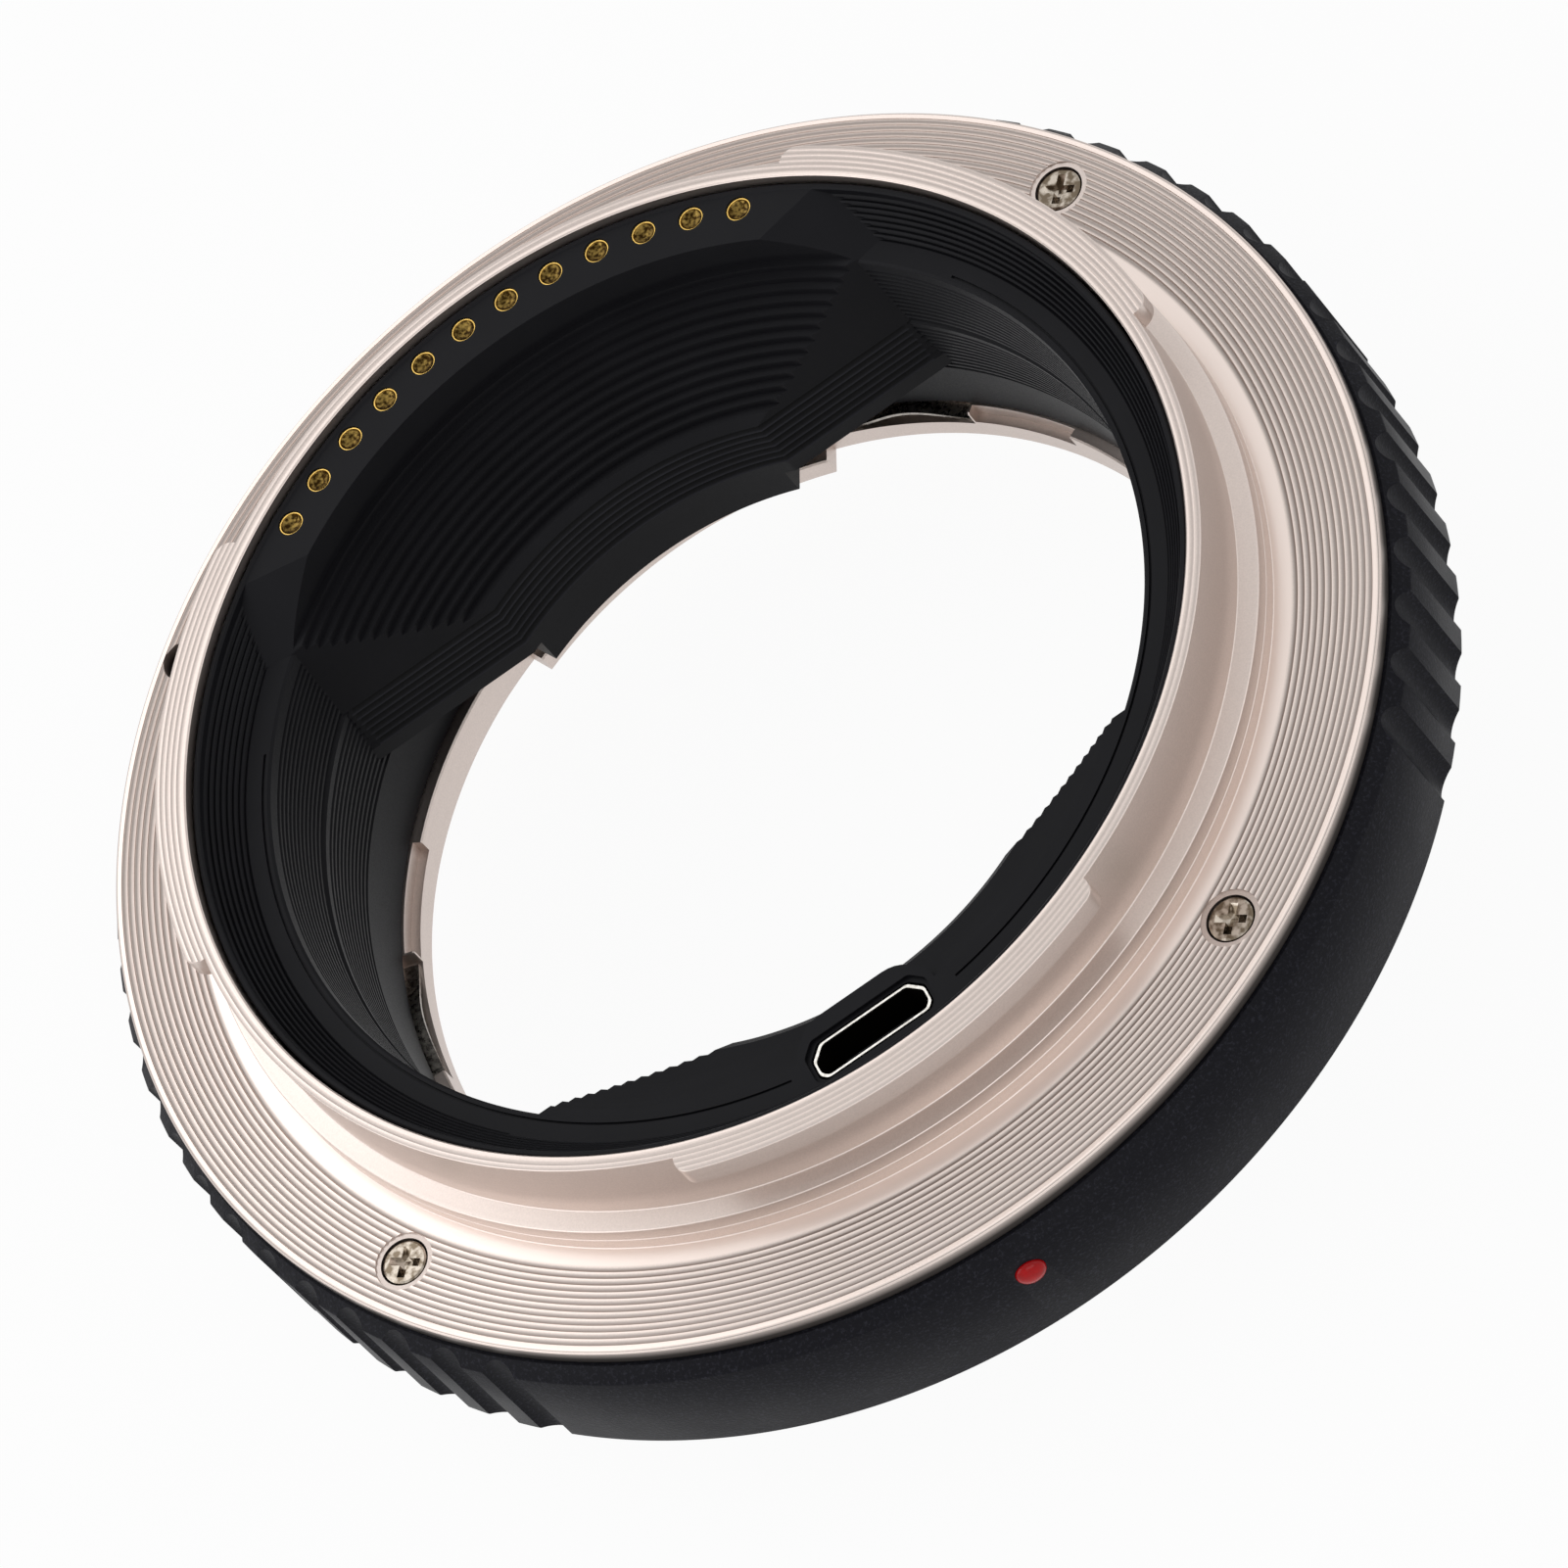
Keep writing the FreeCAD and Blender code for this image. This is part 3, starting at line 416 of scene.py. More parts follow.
def masked_ramp(tree, value, span, ends, mask):
    """A value that goes from the first end to the second over a span, times a mask."""
    ramp = add_node(tree, "ShaderNodeMapRange",
                    inputs={"Value": value, "From Min": span[0], "From Max": span[1],
                            "To Min": ends[0], "To Max": ends[1]})
    kept = add_node(tree, "ShaderNodeMath", {"operation": "MULTIPLY"},
                    {0: ramp.outputs[0], 1: mask})
    return kept.outputs[0]


def tinted(tree, value, span, first, second):
    """A colour that goes from the first to the second as a value passes over a span."""
    share = add_node(tree, "ShaderNodeMapRange",
                     inputs={"Value": value, "From Min": span[0], "From Max": span[1]})
    mix = add_node(tree, "ShaderNodeMix", {"data_type": "RGBA"},
                   {0: share.outputs[0], 6: first, 7: second})
    return mix.outputs[2]


def finish_shader(tree, shader, colour, rough, relief=None):
    """Links the colour, the roughness, given as (value, span, first, last), and a relief, given
    as (height, strength, depth in millimetres)."""
    value, span, first, last = rough
    ramp = add_node(tree, "ShaderNodeMapRange",
                    inputs={"Value": value, "From Min": span[0], "From Max": span[1],
                            "To Min": first, "To Max": last})
    tree.links.new(colour, shader.inputs["Base Color"])
    tree.links.new(ramp.outputs[0], shader.inputs["Roughness"])
    if relief:
        height, strength, depth_mm = relief
        bump = add_node(tree, "ShaderNodeBump",
                        inputs={"Strength": strength, "Distance": depth_mm * MM, "Height": height})
        tree.links.new(bump.outputs[0], shader.inputs["Normal"])


# Materials

# The flange's rings get a painted highlight on their crests and painted shade in their valleys across
# this depth below the face.
TONED_RINGS = 0.1             # depth over which the flange's rings change their tone
# Heights of the recess between the housing's top and the flange face, where painted shade darkens the
# nickel with depth.
RECESS_LOW = HOUSING_TOP - 0.1
RECESS_HIGH = FACE - 0.14
RECESS_SHADE_SPAN = ((FACE - 0.16) * MM, (FACE - 0.8) * MM)
# Where the moulding's ribs get a painted highlight on their crests and painted shade in their
# valleys.
RIB_LIGHT_SPAN = (0.35, 0.1)       # shares of half a rib's height
RIB_SHADE_SPAN = (0.3, 0.8)


def ring_tone(tree, height, top_mm, depth_mm):
    """1 on the crests of turned rings, -1 in their valleys and 0 away from them: the mask of their
    painted highlight and shade.
    """
    low_mm, reach = top_mm - depth_mm, 0.01
    near = within(tree, height, low_mm - reach, top_mm + reach)
    return masked_ramp(tree, height, (low_mm * MM, top_mm * MM), (-1.0, 1.0), near)


def ring_highlight_and_shade(tree, height):
    """Mask of the painted highlight on the crests and painted shade in the valleys of the flange's
    rings, and at half its strength on the rim's.
    """
    rim = ring_tone(tree, height, RIM_TOP, RIM_RING_DEPTH)
    flange = ring_tone(tree, height, FACE, TONED_RINGS)
    return add_node(tree, "ShaderNodeMath", {"operation": "MULTIPLY_ADD"},
                    {0: rim, 1: 0.5, 2: flange}).outputs[0]


def turned_nickel():
    """Warm satin nickel plate over turned brass, with a painted highlight on the rings' crests,
    painted shade in their valleys, and painted shade in the recesses that grows with their depth.
    """
    tone = bpy.context.scene.adapter_look.nickel
    made, tree, shader = new_material("turned_nickel_plate", {"Metallic": 1.0})
    _, height = radius_and_height(tree)
    marks = tool_marks(tree, 0.22)
    fine = grain(tree, 0.11, 3.0, 0.6)
    relief = add_node(tree, "ShaderNodeMath", {"operation": "MULTIPLY_ADD"},
                      {0: marks, 1: 0.6, 2: fine})
    rings = ring_highlight_and_shade(tree, height)
    # Painted shade in the recesses below the flange face, darker with depth.
    deep = masked_ramp(tree, height, RECESS_SHADE_SPAN, (0.15, 1.0),
                       within(tree, height, RECESS_LOW, RECESS_HIGH))
    plain = tinted(tree, fine, CORE_NOISE, shaded(tone, 1.28), shaded(tone, 1.4))
    # Painted highlight on the rings' crests, then painted shade in their valleys.
    ring_crest_lit = tinted(tree, rings, WHOLE_SHARE, plain, shaded(tone, 1.7))
    ring_valley_shaded = tinted(tree, rings, (0.0, -1.0), ring_crest_lit, shaded(tone, 0.62))
    colour = tinted(tree, deep, WHOLE_SHARE, ring_valley_shaded, shaded(tone, 0.15))
    finish_shader(tree, shader, colour, (marks, MID_NOISE, 0.36, 0.46),
                  (relief.outputs[0], 0.3, 0.012))
    return made


def anodised_black():
    """Black anodised aluminium over a fine blast: satin, near black, with a faint blue cast and
    bright specks of painted glints from the blast.
    """
    tone = bpy.context.scene.adapter_look.housing
    made, tree, shader = new_material("black_anodised_aluminium", {"Specular IOR Level": 0.06})
    fine = grain(tree, 0.2, 3.0, 0.65)
    # Painted glints: bright specks of the blast painted into the colour.
    colour = tinted(tree, fine, (0.52, 0.7), shaded(tone, 0.9), shaded(tone, 2.6))
    finish_shader(tree, shader, colour, (grain(tree, 5.0), MID_NOISE, 0.36, 0.44),
                  (fine, 0.6, 0.04))
    return made


def rib_light_and_shade(tree):
    """Shares of painted highlight on the crests and of painted shade in the valleys of the ribs on
    the blocks' upright walls, as two sockets.
    """
    radius, height = radius_and_height(tree)
    half = (FIELD_FOOT - RIB_FOOT) / RIB_COUNT / 2 * MM
    above = add_node(tree, "ShaderNodeMath", {"operation": "SUBTRACT"},
                     {0: height, 1: RIB_FOOT * MM})
    wave = add_node(tree, "ShaderNodeMath", {"operation": "PINGPONG"},
                    {0: above.outputs[0], 1: half})
    wall = add_node(tree, "ShaderNodeMath", {"operation": "MULTIPLY"},
                    {0: within(tree, height, RIB_FOOT, FIELD_FOOT),
                     1: within(tree, radius, BLOCK_CHORD - 1, LEDGE_INNER - 0.7)})
    return [masked_ramp(tree, wave.outputs[0], (start * half, end * half), WHOLE_SHARE,
                        wall.outputs[0]) for start, end in (RIB_LIGHT_SPAN, RIB_SHADE_SPAN)]


def moulded_black():
    """Matte black moulding compound: fine spark-eroded grain that scatters light softly, with a
    painted highlight on the wall ribs' crests and painted shade in their valleys.
    """
    tone = bpy.context.scene.adapter_look.moulding
    made, tree, shader = new_material("matte_black_moulding", {"Specular IOR Level": 0.1})
    fine = grain(tree, 0.1, 3.0, 0.6)
    rib_crest_light, rib_valley_shade = rib_light_and_shade(tree)
    plain = tinted(tree, grain(tree, 4.0), MID_NOISE, shaded(tone, 1.0), shaded(tone, 1.2))
    # Painted highlight on the ribs' crests, then painted shade in their valleys.
    lit = tinted(tree, rib_crest_light, WHOLE_SHARE, plain, shaded(tone, 3.5))
    colour = tinted(tree, rib_valley_shade, WHOLE_SHARE, lit, shaded(tone, 0.1))
    finish_shader(tree, shader, colour, (fine, MID_NOISE, 0.42, 0.54), (fine, 0.15, 0.02))
    return made


def bright_screw_nickel():
    """Polished nickel plate on machine screws, mottled dark and light by a noise that paints the dark
    reflections of polished metal.
    """
    made, tree, shader = new_material("bright_nickel_screw", {"Metallic": 1.0})
    reflection_mottle = grain(tree, 0.5)
    # Painted reflection: the dark patches stand in for the dark surroundings that the polished heads
    # mirror.
    colour = tinted(tree, reflection_mottle, (0.42, 0.62), linear("#6F6354"), linear("#BDB3A7"))
    finish_shader(tree, shader, colour, (reflection_mottle, MID_NOISE, 0.14, 0.26),
                  (grain(tree, 0.25), 0.2, 0.01))
    return made


def spring_steel():
    """Drawn and rolled spring steel: grey and smooth, with faint streaks."""
    made, tree, shader = new_material("drawn_spring_steel", {"Metallic": 1.0})
    fine = grain(tree, 0.3)
    colour = tinted(tree, fine, MID_NOISE, linear("#8F8A84"), linear("#B9B3AB"))
    finish_shader(tree, shader, colour, (fine, MID_NOISE, 0.22, 0.35))
    return made


def hollow_shade_span(top_mm, lip, fade):
    """Span of heights below a hollow's lip over which painted shade darkens it."""
    return (top_mm - lip) * MM, (top_mm - lip - fade) * MM


def socket_steel():
    """Stamped and plated steel of the data socket: a bright lip, rougher below it, with painted shade
    darkening the inside.
    """
    made, tree, shader = new_material("plated_socket_steel", {"Metallic": 1.0})
    _, height = radius_and_height(tree)
    span = hollow_shade_span(SHELL_HIGH.z, 0.03, 0.12)
    bright = tinted(tree, grain(tree, 0.2), MID_NOISE, linear("#BDB9B2"), linear("#E4E1DB"))
    # Painted shade below the shell's lip and inside it.
    colour = tinted(tree, height, span, bright, linear("#1A1713"))
    finish_shader(tree, shader, colour, (height, span, 0.2, 0.6))
    return made


def contact_gold():
    """Hard gold over nickel on the sprung pins: even, deep yellow, softly worn."""
    tone = bpy.context.scene.adapter_look.gold
    made, tree, shader = new_material("hard_gold_plate", {"Metallic": 1.0})
    fine = grain(tree, 0.3)
    colour = tinted(tree, fine, CORE_NOISE, shaded(tone, 0.7), shaded(tone, 1.0))
    finish_shader(tree, shader, colour, (fine, MID_NOISE, 0.18, 0.3), (fine, 0.2, 0.01))
    return made


def dished_gold():
    """Gold of the camera contacts: a bright rim round a dish of painted shade, dark brown mottled
    with painted gold reflections.
    """
    tone = bpy.context.scene.adapter_look.gold
    made, tree, shader = new_material("dished_gold_plate", {"Metallic": 1.0})
    _, height = radius_and_height(tree)
    spots = grain(tree, 0.24)
    # Painted shade and painted reflections in the dish: dark brown mottled with gold.
    dish = tinted(tree, spots, (0.4, 0.72), linear("#2A1C09"), shaded(tone, 0.36))
    colour = tinted(tree, height, hollow_shade_span(PAD_HIGH.z, 0.03, 0.08), shaded(tone, 1.0), dish)
    finish_shader(tree, shader, colour, (spots, MID_NOISE, 0.2, 0.34), (spots, 0.3, 0.02))
    return made


def red_bead():
    """Glossy red enamel drop: saturated, with a clear highlight."""
    tone = bpy.context.scene.adapter_look.mark
    made, tree, shader = new_material("glossy_red_enamel", {"Specular IOR Level": 0.2})
    fine = grain(tree, 0.6)
    colour = tinted(tree, fine, MID_NOISE, shaded(tone, 0.75), shaded(tone, 1.0))
    finish_shader(tree, shader, colour, (fine, MID_NOISE, 0.08, 0.12))
    return made


def board_mask():
    """Green solder mask over glass-fibre board: semi-gloss with the weave just showing."""
    made, tree, shader = new_material("green_solder_mask", {"Metallic": 0.0})
    where = add_node(tree, "ShaderNodeTexCoord")
    weave = add_node(tree, "ShaderNodeTexChecker",
                     inputs={"Vector": where.outputs["Object"], "Scale": 1 / (0.4 * MM)})
    colour = tinted(tree, weave.outputs[1], WHOLE_SHARE, linear("#0E3B22"), linear("#114528"))
    finish_shader(tree, shader, colour, (grain(tree, 1.0), MID_NOISE, 0.3, 0.4))
    return made


def amber_film():
    """Amber polyimide film with copper tracks under it: smooth and glossy."""
    made, tree, shader = new_material("amber_polyimide_film", {"Metallic": 0.0})
    fine = grain(tree, 0.8)
    colour = tinted(tree, fine, MID_NOISE, linear("#7A3F12"), linear("#9A5A1E"))
    finish_shader(tree, shader, colour, (fine, MID_NOISE, 0.26, 0.36))
    return made


def seen_rays(tree):
    """1 for rays from the camera and those mirrored or let through by the object, else 0."""
    path = add_node(tree, "ShaderNodeLightPath").outputs
    mirrored = add_node(tree, "ShaderNodeMath", {"operation": "ADD"},
                        {0: path["Is Camera Ray"], 1: path["Is Glossy Ray"]})
    passed = add_node(tree, "ShaderNodeMath", {"operation": "ADD", "use_clamp": True},
                      {0: mirrored.outputs[0], 1: path["Is Transmission Ray"]})
    return passed.outputs[0]


def white_floor():
    """Plain white paper sweep. The camera and reflections see it white, and it keeps the shadow."""
    made = bpy.data.materials.new("white_paper_sweep")
    tree = empty_tree(made)
    paper = add_node(tree, "ShaderNodeBsdfDiffuse", inputs={"Color": linear("#F4F4F4")})
    glow = add_node(tree, "ShaderNodeEmission",
                    inputs={"Color": linear("#FFFFFF"), "Strength": 1.0})
    share = add_node(tree, "ShaderNodeMath", {"operation": "MULTIPLY"},
                     {0: seen_rays(tree), 1: 0.95})
    mix = add_node(tree, "ShaderNodeMixShader",
                   inputs={0: share.outputs[0], 1: paper.outputs[0], 2: glow.outputs[0]})
    add_node(tree, "ShaderNodeOutputMaterial", inputs={"Surface": mix.outputs[0]})
    return made


MATERIALS = {}


def material(maker):
    """Each material is made once and shared."""
    if maker.__name__ not in MATERIALS:
        MATERIALS[maker.__name__] = maker()
    return MATERIALS[maker.__name__]


# Outlines

def at_angle(radius, angle, height):
    """A point at a radius, an angle round the axis and a height."""
    turned_by = math.radians(angle)
    return Vector((radius * math.cos(turned_by), radius * math.sin(turned_by), height))


def between(start, end, share, sink):
    """A point at a share of the way from start to end, moved to the left by sink."""
    across = (Vector(end) - Vector(start)).normalized()
    point = Vector(start).lerp(Vector(end), share)
    return point.x - across.y * sink, point.y + across.x * sink


def grooves(start, end, count, profile):
    """Grooves side by side from start to end; the profile lists (share, sink) within one."""
    points = [between(start, end, (i + share) / count, sink)
              for i in range(count) for share, sink in profile]
    return points + [tuple(end)]


def rectangle(left, bottom, right, top):
    """The four corners of a rectangle."""
    return [(left, bottom), (right, bottom), (right, top), (left, top)]


def zigzag(start, end, count, depth):
    """V grooves, cut to the left by depth."""
    return grooves(start, end, count, [(0.0, 0.0), (0.5, depth)])


def scallops(start, end, count, depth, steps=6):
    """Hollow grooves that meet in sharp crests, deepest near their start, cut to the left."""
    lean = 1.6
    shares = [i / steps for i in range(steps)]
    return grooves(start, end, count, [(s ** lean, 4 * s * (1 - s) * depth) for s in shares])


def steps_down(start, end, count, depth):
    """Grooves with flat crests and flat floors, cut to the left by depth."""
    return grooves(start, end, count, [(0.0, 0.0), (0.4, 0.0), (0.56, depth), (0.86, depth)])


def quarter(radius, rise, foot=0.0, steps=10):
    """Points of a quarter ellipse from the axis down to its foot; the top point is left out."""
    angles = [math.pi / 2 * i / steps for i in range(1, steps + 1)]
    return [(radius * math.sin(a), foot + rise * math.cos(a)) for a in angles]


def eased(corners, reach, steps=4):
    """A closed outline whose corners are rounded over a reach to both sides."""
    points = []
    sharing = 2.2                 # a rounding takes at most a side's length over this
    for i, corner in enumerate(corners):
        middle = Vector(corner)
        before = Vector(corners[i - 1]) - middle
        after = Vector(corners[(i + 1) % len(corners)]) - middle
        start = middle + before.normalized() * min(reach, before.length / sharing)
        end = middle + after.normalized() * min(reach, after.length / sharing)
        for share in (step / steps for step in range(steps + 1)):
            points.append(tuple(start.lerp(middle, share).lerp(middle.lerp(end, share), share)))
    return points


# Meshes, in millimetres

def add_object(name, data):
    """A new object in the scene."""
    made = bpy.data.objects.new(name, data)
    bpy.context.scene.collection.objects.link(made)
    return made


def mesh_object(name, points, faces):
    """An object from points in millimetres, with its normals turned outwards."""
    mesh = bpy.data.meshes.new(name)
    mesh.from_pydata([Vector(p) * MM for p in points], [], faces)
    builder = bmesh.new()
    builder.from_mesh(mesh)
    bmesh.ops.remove_doubles(builder, verts=builder.verts, dist=1e-7)
    bmesh.ops.recalc_face_normals(builder, faces=builder.faces)
    builder.to_mesh(mesh)
    builder.free()
    return add_object(name, mesh)


def skin(name, columns, closed):
    """A solid through outlines of equal length, closed on itself or by its two end faces."""
    count = len(columns[0])
    points = [point for column in columns for point in column]
    faces = []
    for i in range(len(columns) if closed else len(columns) - 1):
        a = i * count
        b = (i + 1) % len(columns) * count
        faces += [(a + j, b + j, b + (j + 1) % count, a + (j + 1) % count) for j in range(count)]
    if not closed:
        faces.append(tuple(range(count)))
        faces.append(tuple(range(len(points) - count, len(points))))
    return mesh_object(name, points, faces)


def turned(name, outline, start=0.0, sweep=WHOLE_TURN, steps=AROUND):
    """A turned solid of an outline that keeps clear of the axis, whole or a piece of a ring."""
    whole = sweep >= WHOLE_TURN
    spans = steps if whole else max(1, round(steps * sweep / WHOLE_TURN))
    angles = [start + sweep * i / spans for i in range(spans if whole else spans + 1)]
    return skin(name, [[at_angle(r, angle, z) for r, z in outline] for angle in angles], whole)


def lathe(name, outline, steps=48):
    """A turned solid that closes on the axis: the first and last points have radius 0."""
    inner = outline[1:-1]
    count = len(inner)
    points = [Vector((0, 0, outline[0][1])), Vector((0, 0, outline[-1][1]))]
    for i in range(steps):
        points += [at_angle(r, WHOLE_TURN * i / steps, z) for r, z in inner]
    faces = []
    for i in range(steps):
        a = 2 + i * count
        b = 2 + (i + 1) % steps * count
        faces += [(0, b, a), (1, a + count - 1, b + count - 1)]
        faces += [(a + j, b + j, b + j + 1, a + j + 1) for j in range(count - 1)]
    return mesh_object(name, points, faces)


def prism(name, outline, bottom, top):
    """An upright prism over (x, y) points."""
    return skin(name, [[(x, y, z) for x, y in outline] for z in (bottom, top)], False)


def side_prism(name, outline, low, high):
    """A prism over (y, z) points, from x = low to x = high."""
    return skin(name, [[(x, y, z) for y, z in outline] for x in (low, high)], False)


def rod(name, radius, bottom, top, circle=0.0, angle=0.0, steps=48):
    """An upright cylinder on a circle about the axis."""
    outline = [(0, bottom), (radius, bottom), (radius, top), (0, top)]
    return place(lathe(name, outline, steps), circle, angle)


def place(piece, circle, angle=0.0):
    """Moves a piece's mesh out along +X by circle and turns it about the axis."""
    shift = Matrix.Translation((circle * MM, 0, 0))
    piece.data.transform(Matrix.Rotation(math.radians(angle), 4, "Z") @ shift)
    return piece


def laid_out(piece, radius, height, angle):
    """Lays an upright piece down to point outwards from the axis, its foot at a radius."""
    piece.data.transform(Matrix.Rotation(math.pi / 2, 4, "Y"))
    piece.data.transform(Matrix.Translation((radius * MM, 0, height * MM)))
    return place(piece, 0.0, angle)


def box_at(name, low, high, angle=0.0):
    """A box between two corners, turned about the axis."""
    base = rectangle(low[0], low[1], high[0], high[1])
    return place(prism(name, base, low[2], high[2]), 0.0, angle)


def take_result(piece):
    """Replaces a piece's mesh by what its modifiers make of it, and clears them."""
    bpy.context.view_layer.update()
    graph = bpy.context.evaluated_depsgraph_get()
    result = bpy.data.meshes.new_from_object(piece.evaluated_get(graph))
    if len(result.polygons) == 0:
        raise RuntimeError(f"{piece.name} came out empty")
    piece.modifiers.clear()
    old = piece.data
    piece.data = result
    bpy.data.meshes.remove(old)


def combine(piece, others, operation):
    """Cuts or joins closed meshes with Boolean modifiers and keeps the plain result."""
    for other in others:
        modifier = piece.modifiers.new("combine", "BOOLEAN")
        modifier.operation = operation
        modifier.solver = "MANIFOLD"
        modifier.object = other
    take_result(piece)
    for other in others:
        bpy.data.objects.remove(other)
    return piece


def merge(name, pieces):
    """Puts separate closed meshes into one object without cutting them."""
    builder = bmesh.new()
    for piece in pieces:
        builder.from_mesh(piece.data)
        bpy.data.objects.remove(piece)
    mesh = bpy.data.meshes.new(name)
    builder.to_mesh(mesh)
    builder.free()
    return add_object(name, mesh)


def smooth(piece, angle=28.0):
    """Smooth shading with edges kept sharp above the angle."""
    piece.data.shade_smooth()
    piece.data.set_sharp_from_angle(angle=math.radians(angle))
    return piece


def finish_piece(piece, maker, body, slot, *nodes):
    """Material, body and the CAD nodes that the piece stands for; the slot argument is not used."""
    piece.data.materials.clear()
    piece.data.materials.append(material(maker))
    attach(piece, body)
    if nodes:
        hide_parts(*nodes)
    return piece


def paint_node(node, maker):
    """A better material for a CAD node that stays."""
    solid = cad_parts[node]
    if not solid.material_slots:
        solid.data.materials.append(material(maker))
    for slot in solid.material_slots:
        slot.material = material(maker)


# Copies round the axis by Geometry Nodes

def new_tree(name, sockets):
    """A geometry tree that gives geometry and takes the named sockets."""
    tree = bpy.data.node_groups.new(name, "GeometryNodeTree")
    tree.interface.new_socket("Geometry", in_out="INPUT", socket_type="NodeSocketGeometry")
    tree.interface.new_socket("Geometry", in_out="OUTPUT", socket_type="NodeSocketGeometry")
    for label, kind in sockets:
        tree.interface.new_socket(label, in_out="INPUT", socket_type=kind)
    return tree


def copies_round_axis():
    """Copies a shape round the axis: their number, the first angle and the step angle."""
    name = "copies_round_axis"
    if name in bpy.data.node_groups:
        return bpy.data.node_groups[name]
    tree = new_tree(name, [("Shape", "NodeSocketObject"), ("Material", "NodeSocketMaterial"),
                           ("Count", "NodeSocketInt"), ("First angle", "NodeSocketFloat"),
                           ("Step angle", "NodeSocketFloat")])
    given = add_node(tree, "NodeGroupInput").outputs
    points = add_node(tree, "GeometryNodeMeshLine",
                      inputs={"Count": given["Count"], "Offset": (0, 0, 0)})
    shape = add_node(tree, "GeometryNodeObjectInfo", {"transform_space": "ORIGINAL"},
                     {"Object": given["Shape"]})
    number = add_node(tree, "GeometryNodeInputIndex")
    angle = add_node(tree, "ShaderNodeMath", {"operation": "MULTIPLY_ADD"},
                     {0: number.outputs[0], 1: given["Step angle"], 2: given["First angle"]})
    spin = add_node(tree, "ShaderNodeCombineXYZ", inputs={2: angle.outputs[0]})
    spread = add_node(tree, "GeometryNodeInstanceOnPoints",
                      inputs={"Points": points.outputs[0], "Instance": shape.outputs["Geometry"],
                              "Rotation": spin.outputs[0]})
    real = add_node(tree, "GeometryNodeRealizeInstances", inputs={0: spread.outputs[0]})
    painted = add_node(tree, "GeometryNodeSetMaterial",
                       inputs={"Geometry": real.outputs[0], "Material": given["Material"]})
    add_node(tree, "NodeGroupOutput", inputs={0: painted.outputs[0]})
    return tree


def set_inputs(modifier, values):
    """Sets a modifier's inputs by the identifiers of their sockets."""
    for item in modifier.node_group.interface.items_tree:
        if item.in_out == "INPUT" and item.name in values:
            modifier[item.identifier] = values[item.name]


def spread_round(name, shape, maker, row):
    """A plain mesh of copies of a shape round the axis, for a row given as its number, first
    angle and step angle; the shape is used up."""
    count, first, step = row
    carrier = add_object(name, bpy.data.meshes.new(name))
    modifier = carrier.modifiers.new("copies", "NODES")
    modifier.node_group = copies_round_axis()
    set_inputs(modifier, {"Shape": shape, "Material": material(maker), "Count": count,
                          "First angle": math.radians(first), "Step angle": math.radians(step)})
    take_result(carrier)
    bpy.data.objects.remove(shape)
    return carrier


# Sizes and colours that a user would change

class AdapterHousing(bpy.types.PropertyGroup):
    flute_width: FloatProperty(name="Flute width", description="Width of a grip flute at the wall",
                               default=2.19 * MM, unit="LENGTH", precision=5)
    flute_depth: FloatProperty(name="Flute depth", description="Depth of a grip flute",
                               default=0.7 * MM, unit="LENGTH", precision=5)
    flute_pitch: FloatProperty(name="Flute pitch", description="Angle between grip flutes",
                               default=math.radians(5.13), subtype="ANGLE")


class AdapterPlate(bpy.types.PropertyGroup):
    ring_pitch: FloatProperty(name="Ring pitch", description="Distance between the turned rings",
                              default=0.414 * MM, unit="LENGTH", precision=5)
    ring_depth: FloatProperty(name="Ring depth", description="Depth between the turned rings",
                              default=0.1 * MM, unit="LENGTH", precision=5)
    ring_count: IntProperty(name="Rings", description="Number of turned rings", default=12, min=1)


class AdapterBaffle(bpy.types.PropertyGroup):
    field_depth: FloatProperty(name="Cone groove depth", description="Depth of the cone's grooves",
                               default=0.3 * MM, unit="LENGTH", precision=5)
    wall_depth: FloatProperty(name="Wall groove depth", description="Depth of the fine wall grooves",
                              default=0.12 * MM, unit="LENGTH", precision=5)


class AdapterLook(bpy.types.PropertyGroup):
    nickel: FloatVectorProperty(name="Nickel", description="Warm nickel plate", subtype="COLOR",
                                size=3, default=linear("#B9AEA8")[:3])
    housing: FloatVectorProperty(name="Housing", description="Black anodised finish", subtype="COLOR",
                                 size=3, default=linear("#1A1A1F")[:3])
    moulding: FloatVectorProperty(name="Moulding", description="Matte black moulding",
                                  subtype="COLOR", size=3, default=linear("#161619")[:3])
    gold: FloatVectorProperty(name="Gold", description="Gold of the contacts", subtype="COLOR",
                              size=3, default=linear("#E6C06A")[:3])
    mark: FloatVectorProperty(name="Mark", description="Red of the index marks", subtype="COLOR",
                              size=3, default=linear("#B80005")[:3])


# Housing

def flute_runs(pitch, half):
    """Number, first angle and step of the flutes in each run between the bare stretches."""
    start = PANEL[1] + half
    end = PANEL[0] + WHOLE_TURN - half
    spans = round((end - start) / pitch)
    step = (end - start) / spans
    kept = [i for i in range(spans + 1)
            if not LEVER_GAP[0] < (start + i * step) % WHOLE_TURN < LEVER_GAP[1]]
    split = next(n for n in range(1, len(kept)) if kept[n] != kept[n - 1] + 1)
    return [(len(run), start + run[0] * step, step) for run in (kept[:split], kept[split:])]


